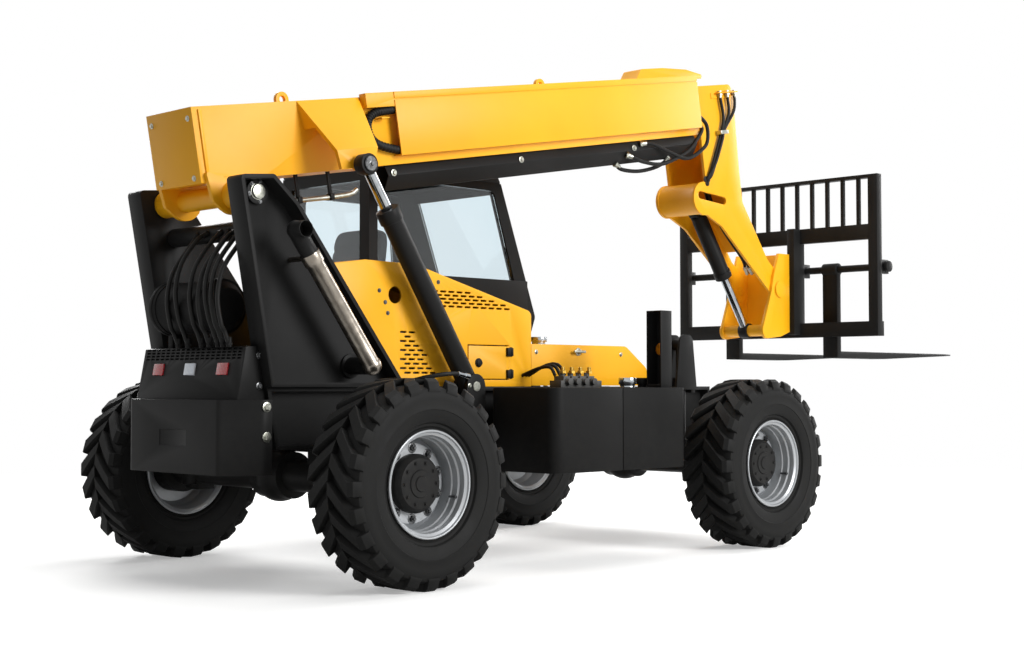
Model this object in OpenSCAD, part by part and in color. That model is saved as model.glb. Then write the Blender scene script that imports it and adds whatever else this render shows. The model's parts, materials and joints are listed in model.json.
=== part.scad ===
// Rough-terrain telescopic handler, all sizes in millimetres.
// x runs forward, y to the machine's left and z up; x is counted from the rear axle
// while modelling, and the finished machine is moved so that its box is centred on the origin.

/* [Wheels] */
// Distance between the axles
wheelbase = 2830; // [2700:10:3000]
// Outer diameter of a tyre over its lugs
tyre_d = 1030; // [1000:5:1050]
// Width of a tyre
tyre_w = 370; // [350:5:385]
// Width over the outer faces of the tyres
overall_w = 2460; // [2440:10:2560]
// Diameter over the rim's flanges
rim_d = 528; // [510:2:540]
// Width of the rim over its flanges
rim_w = 310; // [290:2:330]
// Depth from the rim's outer flange to its disc
rim_dish = 140; // [120:2:150]
// Radius of the planetary hub
hub_r = 145; // [125:1:155]
// Distance of a kingpin inside its tyre's middle
kingpin_in = 225; // [215:5:245]
// Number of lugs on each side of a tyre
lug_count = 24; // [20:2:28]
// Height of a tyre's lugs
lug_depth = 32; // [24:1:38]

/* [Frame] */
// Half width over the frame's webs
rail_y = 420; // [405:5:430]
// Thickness of the frame's plates
web_t = 25; // [15:1:35]
// Depth of the towers' flanges
flange_d = 100; // [60:5:110]
// Height of the frame rails' lower edge
rail_z0 = 670; // [665:5:700]
// Height of the frame rails' upper edge
rail_z1 = 985; // [960:5:1000]
// Half width of the counterweight
weight_y = 530; // [500:5:540]
// Height of the counterweight's upper edge
weight_z1 = 922; // [900:2:940]

/* [Boom] */
// Height of the boom's pivot
pivot_z = 1960; // [1930:5:1990]
// Distance of the boom's pivot behind the rear axle
pivot_back = 480; // [460:5:500]
// Rise of the boom at rest, in degrees
boom_angle = 10; // [8:0.5:12]
// Width of the outer boom
boom_w = 410; // [400:2:440]
// Height of the outer boom
boom_h = 385; // [375:5:400]
// Wall of the outer boom
boom_wall = 12; // [8:1:14]
// Length of the outer boom ahead of the pivot
boom_front = 3930; // [3850:10:3950]
// Width of the inner boom
inner_w = 300; // [290:2:310]
// Height of the inner boom
inner_h = 285; // [270:5:300]
// Thickness of the neck's side plates
neck_t = 20; // [14:1:26]

/* [Cylinders] */
// Radius of a lift cylinder's barrel
lift_r = 58; // [50:1:64]
// Radius of a lift cylinder's rod
lift_rod_r = 32; // [25:1:40]
// Distance of a lift cylinder from the centre line
lift_y = 500; // [495:1:510]
// Radius of the tilt cylinder's barrel
tilt_r = 56; // [48:1:62]
// Radius of the tilt cylinder's rod
tilt_rod_r = 30; // [24:1:36]

/* [Carriage and forks] */
// Half width of the carriage
carriage_y = 890; // [870:5:920]
// Height of the carriage's top above the coupler's pivot
carriage_top = 805; // [760:5:840]
// Width of a fork
fork_w = 125; // [100:5:140]
// Thickness of a fork at its heel
fork_t = 50; // [40:1:60]
// Length of a fork's blade ahead of its shank
fork_len = 1640; // [1500:10:1700]
// Distance of a fork from the centre line at rest
fork_y = 440; // [400:5:480]

/* [Cab and hood] */
// Position of the cab's right wall
cab_y0 = 300; // [290:5:310]
// Position of the cab's left wall
cab_y1 = 1150; // [1120:5:1180]
// Height of the cab's roof
cab_top = 2360; // [2330:5:2400]
// Thickness of the cab's walls and posts
cab_wall = 45; // [35:1:55]
// Thickness of the window panes
glass_t = 6; // [4:1:8]
// Position of the hood's right wall, to the right of the centre line
hood_right = 388; // [370:2:392]
// Position of the hood's left wall, to the left of the centre line
hood_left = 250; // [230:5:270]
// Thickness of the hood's sheet
hood_t = 12; // [8:1:16]
// Height of the hood over the engine
hood_top = 1666; // [1640:2:1690]
// Height of the lower hood in front
lid_top = 1238; // [1220:2:1260]

/* [Tank] */
// Length of the tank
tank_len = 1100; // [1040:10:1120]
// Width of the tank
tank_w = 500; // [460:5:520]
// Height of the tank's upper face
tank_top = 980; // [960:5:1000]
// Height of the tank's lower face
tank_bottom = 520; // [480:5:560]
// Room between the tank and the front tyre
tank_gap = 230; // [200:5:260]

/* [Hidden] */
$fn = 64;

// Play between pieces that are seated on each other, and between pieces that move past each other
seat = 0.3;
play = 6;
// Overshoot of a cut past the face it opens
past = 5;

yellow = "#F4B400";
black = "#2B2825";
grey = "#8F9496";
chrome = "#D8DCDF";
rubber = "#1C1B1A";
glass_tint = [0.45, 0.56, 0.64, 0.5];

// Wheels
axle_z = tyre_d / 2;
wheel_y = (overall_w - tyre_w) / 2;
kingpin_y = wheel_y - kingpin_in;
bead_r = rim_d / 2 - 16;
rim_barrel_t = 12;
disc_y = rim_w / 2 - rim_dish;
disc_t = 16;
nut_pitch_r = hub_r + 28;
nut_count = 10;
spindle_r = 60;
hub_face_y = rim_w / 2 - 75;
hub_back_y = -115;
yoke_z = 86;
yoke_t = 26;
yoke_r = 52;
kingpin_r = 22;
axle_r = 84;

// Frame
rail_rear_x = -387;
rail_front_x = wheelbase + 300;
rail_flange = 60;
pivot_x = -pivot_back;
pivot = [pivot_x, pivot_z];
tower_rear_top = pivot + [-160, 66];
tower_front_top = pivot + [44, 85];
tower_kink = pivot + [195, -44];
tower_rear_foot_x = rail_rear_x - 59;
tower_front_foot_x = 437;
tower_flange_t = 22;
pin_r = 42;
pin_head_r = 37;
pin_head_t = 14;
tower_boss_r = 64;
tower_boss_t = 20;
tower_tube = pivot + [60, -175];
tower_tube_r = 50;
cross_rear_x = 300;
cross_mid_x = 1560;
outrigger_x = [1290, 1880];
outrigger_w = 90;
// Ledges inside the right rail that the hood stands on
ledge_x = [620, 1380];
ledge_d = 26;

// Boom, measured along it (s) and square to it (n) from the pivot
boom_n0 = 75;
boom_n1 = boom_n0 + boom_h;
boom_rear = -165;
hub_half = rail_y - web_t - play;
boom_hub_r = 100;
hub_tube_r = 56;
hub_boss_r = 72;
cheek_t = 25;
mid_gap = 13;
mid_w = boom_w - 2 * (boom_wall + mid_gap);
mid_n0 = boom_n0 + boom_wall + mid_gap;
mid_n1 = boom_n1 - boom_wall - mid_gap;
mid_wall = 10;
mid_rear = 150;
mid_front = boom_front + 50;
inner_mid_n = (boom_n0 + boom_n1) / 2;
inner_n0 = inner_mid_n - inner_h / 2;
inner_n1 = inner_mid_n + inner_h / 2;
inner_wall = 10;
inner_rear = 300;
inner_front = 4340;
pad_len = 120;
neck_y = inner_w / 2 + seat + neck_t;
function along(s, n) = [pivot_x + s * cos(boom_angle) - n * sin(boom_angle),
    pivot_z + s * sin(boom_angle) + n * cos(boom_angle)];

// Joint centres in the (s, n) frame of the boom, and the coupler's pivot on the machine
lift_eye = [671, 80];
tilt_base = [4075, -455];
neck_tube = [3960, -365];
neck_tube_r = 110;
neck_tube_t = 14;
neck_lobe_r = 116;
coupler_pin = [4695, -1099];
lift_foot = [920, 987];
p1 = along(coupler_pin[0], coupler_pin[1]);
tilt_eye = [-145, -303];
p2 = p1 + tilt_eye;
tilt_foot = along(tilt_base[0], tilt_base[1]);
lift_head = along(lift_eye[0], lift_eye[1]);
eye_r = 62;
eye_w = 70;
eye_pin_r = 26;
lift_gland = 1120;
lift_rod_start = 290;
lift_bore_start = 120;
tilt_gland = 548;
tilt_rod_len = 620;
tilt_bore_start = 60;
tilt_eye_r = 54;
carriage_x = 205;
carriage_d = 60;
fork_x = 285;
shaft_z = 145;
shaft_r = 25;
fork_under = -503;
fork_tip_x = p1[0] + fork_x + fork_t + fork_len;

// The box of the whole machine along x
rear_x = along(boom_rear, boom_n1)[0];
origin_x = (rear_x + fork_tip_x) / 2;

function unit(v) = v / norm(v);
function inward(a, b) = let (d = unit(b - a)) [-d[1], d[0]];
function at(list, i) = list[(i + len(list)) % len(list)];
// Moves the sides of a polygon, given counter-clockwise, inward by d
function inset(pts, d) = [for (i = [0 : len(pts) - 1])
    let (n1 = inward(at(pts, i - 1), pts[i]), n2 = inward(pts[i], at(pts, i + 1)))
    pts[i] + (n1 + n2) * d / (1 + n1 * n2)];
// One rounded corner at q between p and s
function corner(p, q, s, r, steps) = r == 0 ? [q] :
    let (a = unit(p - q), b = unit(s - q), h = acos(a * b) / 2, c = q + unit(a + b) * r / sin(h),
        u = q + a * r / tan(h) - c, v = q + b * r / tan(h) - c,
        a0 = atan2(u[1], u[0]), d = atan2(v[1], v[0]) - a0, turn = d > 180 ? d - 360 : d < -180 ? d + 360 : d)
    [for (k = [0 : steps]) c + r * [cos(a0 + turn * k / steps), sin(a0 + turn * k / steps)]];
// Rounds the corners of a polygon, with one radius or a list of them
function rounded(pts, r, steps = 5) = [for (i = [0 : len(pts) - 1])
    each corner(at(pts, i - 1), pts[i], at(pts, i + 1), is_list(r) ? r[i] : r, steps)];

// A side view, as points (x, z), drawn out from y0 to y1
module side_plate(pts, y0, y1) {
    translate([0, y1, 0]) rotate([90, 0, 0]) linear_extrude(y1 - y0) polygon(pts);
}
module bar_y(r, y0, y1) {
    translate([0, y0, 0]) rotate([-90, 0, 0]) cylinder(r = r, h = y1 - y0);
}
module at_xz(p) {
    translate([p[0], 0, p[1]]) children();
}
// A rod from a to b in the plane of the side view
module bar_between(a, b, r) {
    d = b - a;
    at_xz(a) rotate([0, 90 - atan2(d[1], d[0]), 0]) cylinder(r = r, h = norm(d));
}
module block(lo, hi) {
    translate(lo) cube(hi - lo);
}
module mirrored_pair() {
    children();
    mirror([0, 1, 0]) children();
}
module boom_frame() {
    at_xz(pivot) rotate([0, -boom_angle, 0]) children();
}
module placed() {
    translate([-origin_x, 0, 0]) children();
}

// Frame

rail_outline = [[rail_rear_x, rail_z0], [rail_front_x, rail_z0], [rail_front_x, rail_z1],
    [tower_rear_foot_x, rail_z1]];
tower_outline = [[tower_rear_foot_x, rail_z1], [tower_front_foot_x, rail_z1], tower_kink,
    tower_front_top, tower_rear_top];
clevis_t = 22;
clevis_top = 70;

// Left half: rail, tower, lift cylinder's clevis and outriggers
module frame_side() {
    clevis_in = lift_y - eye_w / 2 - seat - clevis_t;
    clevis_out = lift_y + eye_w / 2 + seat;
    clevis_floor = lift_foot[1] - eye_r - 14;
    difference() {
        union() {
            side_plate(rail_outline, rail_y - web_t, rail_y);
            side_plate(rounded(tower_outline, [0, 0, 40, 25, 25]), rail_y - web_t, rail_y);
            difference() {
                side_plate(rounded(tower_outline, [0, 0, 40, 25, 25]), rail_y - 1, rail_y + flange_d);
                side_plate(inset(tower_outline, tower_flange_t), rail_y - 2, rail_y + flange_d + past);
            }
            difference() {
                side_plate(rail_outline, rail_y - 1, rail_y + rail_flange);
                side_plate(inset(rail_outline, tower_flange_t), rail_y - 2, rail_y + rail_flange + past);
                // Room for the lift cylinder's eye
                block([lift_foot[0] - clevis_top, clevis_in + clevis_t, clevis_floor],
                    [lift_foot[0] + clevis_top, clevis_out, rail_z1 + past]);
            }
            at_xz(pivot) bar_y(tower_boss_r, rail_y - 1, rail_y + tower_boss_t);
            for (y = [clevis_in, clevis_out]) {
                at_xz(lift_foot) bar_y(clevis_top, y, y + clevis_t);
                block([lift_foot[0] - clevis_top, y, rail_z0 + past],
                    [lift_foot[0] + clevis_top, y + clevis_t, lift_foot[1]]);
            }
            block([lift_foot[0] - clevis_top, rail_y - 1, rail_z0 + past],
                [lift_foot[0] + clevis_top, clevis_out + clevis_t, clevis_floor]);
            at_xz(lift_foot) bar_y(eye_pin_r, clevis_in + 1, clevis_out + clevis_t);
            for (x = outrigger_x)
                block([x, rail_y - 1, rail_z0 + 40], [x + outrigger_w, tank_in_y - seat, rail_z1 - 80]);
        }
        at_xz(pivot) bar_y(pin_r + seat, 0, rail_y + flange_d);
    }
}

// Plates that carry the upper end of the frame-levelling cylinder
level_pin = [wheelbase, 1253];
level_y = 466;
level_eye_r = 36;
level_pin_r = 20;
level_plate_t = 16;
level_eye_w = 86;
level_outline = [[level_pin[0] - 105, rail_z1 - 20], [level_pin[0] + 105, rail_z1 - 20],
    level_pin + [62, 66], level_pin + [-62, 66]];

module levelling_plates() {
    for (y = [level_y - level_eye_w / 2 - seat - level_plate_t, level_y + level_eye_w / 2 + seat])
        side_plate(rounded(level_outline, [0, 0, 50, 50]), y, y + level_plate_t);
    at_xz(level_pin)
        bar_y(level_pin_r, level_y - level_eye_w / 2 - level_plate_t, level_y + level_eye_w / 2 + 1);
    for (x = [-105, 65])
        block([level_pin[0] + x, rail_y - 1, rail_z1 - 40],
            [level_pin[0] + x + 40, level_y + level_eye_w / 2 + seat + 1, rail_z1]);
}

module frame_left() {
    color(black) frame_side();
}
module frame_right() {
    color(black) mirror([0, 1, 0]) {
        difference() {
            frame_side();
            // Room for the frame-levelling cylinder
            block([wheelbase - 60, rail_y, rail_z0 - past],
                [wheelbase + 60, rail_y + 2 * rail_flange, rail_z1 + past]);
        }
        levelling_plates();
        for (x = ledge_x)
            block([x, rail_y - web_t - ledge_d, rail_z1 - 40], [x + 90, rail_y - web_t + 1, rail_z1]);
    }
}

// Crosswise pieces between the two sides
module cross_members() {
    half = rail_y - web_t - seat;
    color(black) {
        block([wheelbase - 160, -half, rail_z0 + 15], [wheelbase + 160, half, rail_z1 - 25]);
        block([cross_mid_x, -half, rail_z0 + 30], [cross_mid_x + 120, half, rail_z1 - 85]);
        at_xz(tower_tube) bar_y(tower_tube_r, -half, half);
    }
}

module boom_pin() {
    color("#E8E6E0") at_xz(pivot) {
        bar_y(pin_r, -rail_y - tower_boss_t, rail_y + tower_boss_t);
        mirrored_pair() bar_y(pin_head_r, rail_y + tower_boss_t - 1, rail_y + tower_boss_t + pin_head_t);
    }
}

// Rear end

weight_z0 = 550;
weight_rear = -680;
weight_front = tower_rear_foot_x - 2;
weight_flat = 400;

module counterweight() {
    plan = [[weight_rear, -weight_flat], [weight_rear + 180, -weight_y], [weight_front, -weight_y],
        [weight_front, weight_y], [weight_rear + 180, weight_y], [weight_rear, weight_flat]];
    color(black) difference() {
        union() {
            translate([0, 0, weight_z0]) linear_extrude(weight_z1 - weight_z0)
                polygon(rounded(plan, [40, 60, 0, 0, 60, 40]));
            block([weight_front - 1, -rail_y + web_t + seat, rail_z0 + 10],
                [-axle_r - 100, rail_y - web_t - seat, weight_z1 - 30]);
        }
        // Blank recess in the middle of the rear face
        block([weight_rear - past, -120, 690], [weight_rear + 4, 120, 770]);
    }
}

tail_y = 455;
tail_top = 1187;
tail_bottom = weight_z1 + seat;
tail_rear_low = -605;
tail_rear_high = -555;
lamp_z = 1075;
lamp_w = 92;
lamp_h = 62;
lamp_depth = 34;
lamp_y = 290;
slot_w = 34;
slot_h = 9;

// Housing over the counterweight, with its slotted rear face and pockets for the lamps
module tail_panel() {
    lean = (tower_rear_top[0] - tower_rear_foot_x) / (tower_rear_top[1] - rail_z1);
    front_low = tower_rear_foot_x + lean * (tail_bottom - rail_z1) - 2;
    front_high = tower_rear_foot_x + lean * (tail_top - rail_z1) - 2;
    color(black) difference() {
        side_plate(rounded([[tail_rear_low, tail_bottom], [front_low, tail_bottom], [front_high, tail_top],
            [tail_rear_high, tail_top]], [0, 0, 0, 12]), -tail_y, tail_y);
        on_tail() {
            for (y = [-lamp_y, 0, lamp_y])
                translate([0, y, 0])
                    cube([2 * lamp_depth, lamp_w + 2 * seat, lamp_h + 2 * seat], center = true);
            for (row = [0 : 3], i = [-9 : 9])
                translate([0, i * (slot_w + 12), 55 + row * (slot_h + 7)])
                    cube([24, slot_w, slot_h], center = true);
        }
    }
}
// Frame on the slanting rear face of the housing, at the lamps' height
module on_tail() {
    slope = (tail_rear_high - tail_rear_low) / (tail_top - tail_bottom);
    translate([tail_rear_low + slope * (lamp_z - tail_bottom), 0, lamp_z])
        rotate([0, atan(slope), 0]) children();
}

guard_y = -970;
guard_w = 110;
guard_d = 100;
guard_h = 450;
guard_t = 8;

module lamps() {
    lamp_out = 9;
    on_tail() for (y = [-lamp_y, 0, lamp_y])
        color(y == 0 ? "#DDE3E8" : "#C03A3A") translate([(lamp_depth - seat - lamp_out) / 2, y, 0])
            cube([lamp_depth - seat + lamp_out, lamp_w, lamp_h], center = true);
    color("#E8901A") translate([guard_x + guard_d - guard_t - seat, guard_y, tank_top + 0.5 * guard_h])
        rotate([0, -90, 0]) cylinder(r = 38, h = 30);
}

// Engine and what hangs on it

engine_x0 = 160;
engine_x1 = 1340;
engine_top = 1380;
// Engine as one plain block with recesses in its right side, on feet between the rails
module engine() {
    color("#5A5A58") difference() {
        union() {
            block([engine_x0, -rail_y + web_t + 30, rail_z0 - 40],
                [engine_x1, hood_left - hood_t - 30, engine_top]);
            for (x = [engine_x0 + 120, engine_x1 - 220])
                block([x, -rail_y + web_t + seat, rail_z0 + 60],
                    [x + 100, rail_y - web_t - seat, rail_z0 + 140]);
        }
        for (x = [engine_x0 + 200 : 200 : engine_x1 - 100])
            block([x, -rail_y, rail_z1 + 20], [x + 60, -rail_y + web_t + 60, engine_top - 80]);
    }
}

cleaner_r = 135;
cleaner_x = -505;
cleaner_z = 1395;
cleaner_y = [-240, 340];
cleaner_foot_y = [-150, 230];
cleaner_foot_w = 60;
// Air cleaner, lying crosswise between the towers on two feet
module air_cleaner() {
    cap = 55;
    band = 28;
    color(black) translate([cleaner_x, 0, cleaner_z]) {
        bar_y(cleaner_r, cleaner_y[0] + cap, cleaner_y[1] - cap);
        translate([0, cleaner_y[0] + cap, 0]) rotate([90, 0, 0])
            cylinder(r1 = cleaner_r - 4, r2 = cleaner_r - 45, h = cap);
        translate([0, cleaner_y[1] - cap, 0]) rotate([-90, 0, 0])
            cylinder(r1 = cleaner_r - 4, r2 = cleaner_r - 45, h = cap);
        for (y = [cleaner_y[0] + cap, cleaner_y[1] - cap - band]) bar_y(cleaner_r + 8, y, y + band);
        for (y = cleaner_foot_y) {
            bar_y(cleaner_r + 5, y, y + 40);
            block([-30, y, tail_top + seat - cleaner_z], [cleaner_foot_w - 30, y + 40, 40 - cleaner_r]);
        }
    }
}

pipe_r = 46;
pipe_wall = 3;
pipe_y = -600;
pipe_foot = [130, 1095];
pipe_tip = [-362, 1765];
pipe_outlet = 82;
pipe_dir = unit(pipe_tip - pipe_foot);
pipe_clamp = 0.8 * norm(pipe_tip - pipe_foot);
// Exhaust stack beside the right tower, its outlet turned outward and its foot against the web
module exhaust() {
    color(chrome) difference() {
        union() {
            translate([0, pipe_y, 0]) {
                bar_between(pipe_foot, pipe_tip, pipe_r);
                bar_between(pipe_foot + (pipe_clamp - 30) * pipe_dir,
                    pipe_foot + (pipe_clamp + 30) * pipe_dir, pipe_r + 7);
                at_xz(pipe_foot) sphere(r = pipe_r + 5);
                at_xz(pipe_tip) {
                    sphere(r = pipe_r + 2);
                    bar_y(pipe_r - 3, -pipe_outlet, 0);
                }
            }
            at_xz(pipe_foot) bar_y(pipe_r, pipe_y, -rail_y - seat);
            at_xz(pipe_foot) bar_y(pipe_r + 18, -rail_y - 14, -rail_y - seat);
            at_xz(pipe_foot + pipe_clamp * pipe_dir) bar_y(14, pipe_y + pipe_r - 6, -rail_y - seat);
        }
        translate([pipe_tip[0], pipe_y, pipe_tip[1]]) bar_y(pipe_r - 3 - pipe_wall, -pipe_outlet - past, 0);
    }
}

// Hood

hood_x0 = 10;
hood_x1 = 1534;
hood_outline = [[hood_x0, rail_z1 + seat], [hood_x1, rail_z1 + seat], [hood_x1, 1428], [620, hood_top - 6],
    [260, hood_top], [hood_x0, hood_top - 36]];
door_x0 = 1015;
door_x1 = 1346;
door_z0 = 1025;
door_z1 = 1225;

vent_w = 45;
vent_h = 10;
vent_pitch = 63;
pipe_hole = [470, 1484];
pipe_hole_r = 46;
hinge_half = 24;
hinge_r = 8;
hinge_z = [1059, 1187];
door_axis_y = -hood_right - hinge_r - 1;

// Rows of slots in the hood's right wall, every other row shifted by half a pitch; they end on a slant
module vents(x0, z_top, rows, row_pitch, end_x, end_slope) {
    for (i = [0 : rows - 1])
        let (z = z_top - i * row_pitch, first = x0 + (i % 2) * vent_pitch / 2,
            end = end_x + end_slope * i * row_pitch)
            for (x = [first : vent_pitch : end - vent_w])
                block([x, -hood_right - past, z - vent_h / 2],
                    [x + vent_w, -hood_right + hood_t + past, z + vent_h / 2]);
}
// Leaves of the access door's hinges, from x0 to x1
module hinge_leaf(x0, x1) {
    for (z = hinge_z)
        block([x0, -hood_right - 2 * hinge_r, z - hinge_half], [x1, -hood_right + 1, z + hinge_half]);
}

module hood() {
    color(yellow) difference() {
        union() {
            side_plate(rounded(hood_outline, [0, 0, 40, 60, 60, 30]), -hood_right, hood_left);
            hinge_leaf(door_x1 + hinge_r + 1, door_x1 + hinge_half);
        }
        side_plate(inset(hood_outline, hood_t), -hood_right + hood_t, hood_left - hood_t);
        block([hood_x0 + hood_t, -hood_right + hood_t, rail_z1 - past],
            [hood_x1 - hood_t, hood_left - hood_t, rail_z1 + 2 * hood_t]);
        block([door_x0, -hood_right - past, door_z0], [door_x1, -hood_right + hood_t + past, door_z1]);
        at_xz(pipe_hole) bar_y(pipe_hole_r, -hood_right - past, -hood_right + hood_t + past);
        vents(740, 1518, 5, 20.5, 1088, 3.94);
        vents(508, 1284, 10, 24.7, 625, 0.7);
    }
}

// Access door in the hood's right side, hinged along its front edge
module service_door() {
    color(yellow) {
        block([door_x0 + play, -hood_right, door_z0 + play],
            [door_x1 - seat, -hood_right + hood_t, door_z1 - play]);
        hinge_leaf(door_x1 - hinge_half, door_x1 - seat);
        for (z = hinge_z) translate([door_x1 - seat, door_axis_y, z - hinge_half])
            cylinder(r = hinge_r, h = 2 * hinge_half);
    }
}

lid_x0 = hood_x1 + seat;
lid_x1 = wheelbase - 230;
lid_slope = 210;
lid_drop = 142;
lid_outline = [[lid_x0, rail_z1 + play], [lid_x1, rail_z1 + play], [lid_x1, lid_top - lid_drop],
    [lid_x1 - lid_slope, lid_top], [lid_x0, lid_top]];
lid_barrel_r = 11.5;
lid_axis = [lid_x0 + lid_barrel_r + 0.5, lid_top + lid_barrel_r - 0.5];
lid_barrel_y = [-300, 100];
lid_barrel_len = 120;
lid_cap = [lid_x0 + 350, -110];
lid_cap_r = 52;
lid_cap_h = 55;
// Lower hood in front, hinged along its rear upper edge, with a filler cap on it
module front_lid() {
    color(chrome) translate([lid_cap[0], lid_cap[1], lid_top - 1]) {
        cylinder(r = lid_cap_r - 10, h = lid_cap_h);
        translate([0, 0, lid_cap_h - 30]) cylinder(r = lid_cap_r, h = 30);
    }
    color(yellow) at_xz(lid_axis) for (y = lid_barrel_y) bar_y(lid_barrel_r, y, y + lid_barrel_len);
    color(yellow) difference() {
        side_plate(rounded(lid_outline, [0, 0, 60, 60, 0]), -hood_right, hood_left);
        side_plate(inset(lid_outline, hood_t), -hood_right + hood_t, hood_left - hood_t);
        block([lid_x0 - past, -hood_right + hood_t, rail_z1 - past],
            [lid_x0 + 2 * hood_t, hood_left - hood_t, lid_top - hood_t]);
        block([lid_x0 - past, -hood_right + hood_t, rail_z1 - past],
            [lid_x1 - hood_t, hood_left - hood_t, rail_z1 + 2 * hood_t]);
    }
}

// Tank on the right, with the lamp's guard on it

tank_x0 = wheelbase - tyre_d / 2 - tank_gap - tank_len;
guard_x = tank_x0 + tank_len - guard_d - 25;
tank_in_y = 600;
tank_cap = [tank_len - 235, tank_len - 100];
tank_cap_r = [52, 36];
tank_cap_h = 58;
tank_cap_y = -tank_in_y - 262;
// Tank in two halves, parted by a groove, with two filler caps
module tank() {
    plan = [[tank_x0, -tank_in_y - tank_w], [tank_x0 + tank_len, -tank_in_y - tank_w],
        [tank_x0 + tank_len, -tank_in_y], [tank_x0, -tank_in_y]];
    color(black) difference() {
        translate([0, 0, tank_bottom]) linear_extrude(tank_top - tank_bottom)
            polygon(rounded(plan, [70, 20, 20, 40]));
        block([tank_x0 + tank_len / 2 - 3, -tank_in_y - tank_w - past, tank_bottom - past],
            [tank_x0 + tank_len / 2 + 3, -tank_in_y - tank_w + 6, tank_top + past]);
    }
    color(chrome) for (i = [0, 1]) translate([tank_x0 + tank_cap[i], tank_cap_y, tank_top - 1]) {
        cylinder(r = tank_cap_r[i] - 8, h = tank_cap_h);
        translate([0, 0, 20]) cylinder(r = tank_cap_r[i], h = tank_cap_h - 20);
    }
}

valve_x = tank_x0 + 455;
valve_y = -tank_in_y - 70;
valve_spools = 4;
valve_pitch = 70;
// Hydraulic valve on the tank: a ribbed block with a spool cap at each section
module valve_block() {
    color("#6B6A66") translate([valve_x, valve_y, tank_top + seat]) {
        block([0, -45, 0], [(valve_spools + 1) * valve_pitch, 45, 40]);
        for (i = [0 : valve_spools - 1]) translate([(i + 0.8) * valve_pitch, 0, 0]) {
            block([-27, -38, 0], [27, 38, 66]);
            translate([0, -70, 34]) rotate([-90, 0, 0]) cylinder(r = 20, h = 40);
            translate([0, 0, 65]) cylinder(r = 17, h = 22, $fn = 6);
        }
    }
}

// Guard round the lamp on the tank, open to the rear
module light_guard() {
    color(black) difference() {
        block([guard_x, guard_y - guard_w / 2, tank_top + seat],
            [guard_x + guard_d, guard_y + guard_w / 2, tank_top + guard_h]);
        block([guard_x - past, guard_y - guard_w / 2 + guard_t, tank_top + 20],
            [guard_x + guard_d - guard_t, guard_y + guard_w / 2 - guard_t, tank_top + guard_h - guard_t]);
    }
}

// Axles

module axle(pad_y0, pad_y1, pad_top) {
    bar_y(axle_r, -kingpin_y + 110, kingpin_y - 110);
    bar_y(axle_r + 40, -120, 120);
    sphere(r = axle_r + 60);
    mirrored_pair() {
        translate([0, kingpin_y, 0]) for (z = [yoke_z, -yoke_z - yoke_t]) {
            difference() {
                union() {
                    translate([0, 0, z]) cylinder(r = yoke_r, h = yoke_t);
                    block([-yoke_r, -120, z], [yoke_r, 0, z + yoke_t]);
                }
                translate([0, 0, z - past]) cylinder(r = kingpin_r + seat, h = yoke_t + 2 * past);
            }
        }
        block([-yoke_r, kingpin_y - 120, -yoke_z - yoke_t], [yoke_r, kingpin_y - 96, yoke_z + yoke_t]);
        block([-yoke_r, pad_y0, 0], [yoke_r, pad_y1, pad_top]);
    }
}

level_lug_z = 640;
module axles() {
    color(black) {
        translate([0, 0, axle_z]) axle(300, rail_y + rail_flange, rail_z0 - seat - axle_z);
        translate([wheelbase, 0, axle_z]) {
            axle(0, 90, rail_z0 + 15 - seat - axle_z);
            translate([0, -level_y, level_lug_z - axle_z])
                bar_y(level_pin_r, -level_eye_w / 2 - 8, level_eye_w / 2 + 8);
            for (y = [-level_y - level_eye_w / 2 - seat - level_plate_t, -level_y + level_eye_w / 2 + seat])
                block([-45, y, 0], [45, y + level_plate_t, rail_z0 - play - axle_z]);
        }
    }
}

// Cylinder that rolls the frame over the front axle, held here at its middle
module levelling_cylinder() {
    color(black) translate([wheelbase, -level_y, 0]) difference() {
        union() {
            translate([0, 0, level_lug_z]) bar_y(level_eye_r, -level_eye_w / 2, level_eye_w / 2);
            translate([0, 0, level_lug_z + 20]) cylinder(r = 40, h = 380);
            translate([0, 0, level_lug_z + 380]) cylinder(r = 24, h = level_pin[1] - level_lug_z - 380);
            translate([0, 0, level_pin[1]]) bar_y(level_eye_r, -level_eye_w / 2, level_eye_w / 2);
        }
        for (z = [level_lug_z, level_pin[1]])
            translate([0, 0, z]) bar_y(level_pin_r + seat, -level_eye_w, level_eye_w);
    }
}

// Steering knuckle, drawn for the left side with the kingpin on the z axis
module knuckle() {
    kz = yoke_z - seat;
    translate([0, 0, -kz]) cylinder(r = 72, h = 2 * kz);
    bar_y(spindle_r, 0, wheel_y - kingpin_y + disc_y - 40);
    bar_y(spindle_r + 24, 0, wheel_y - kingpin_y + hub_back_y - seat);
    translate([0, 0, -yoke_z - yoke_t]) cylinder(r = kingpin_r, h = 2 * (yoke_z + yoke_t));
}

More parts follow.
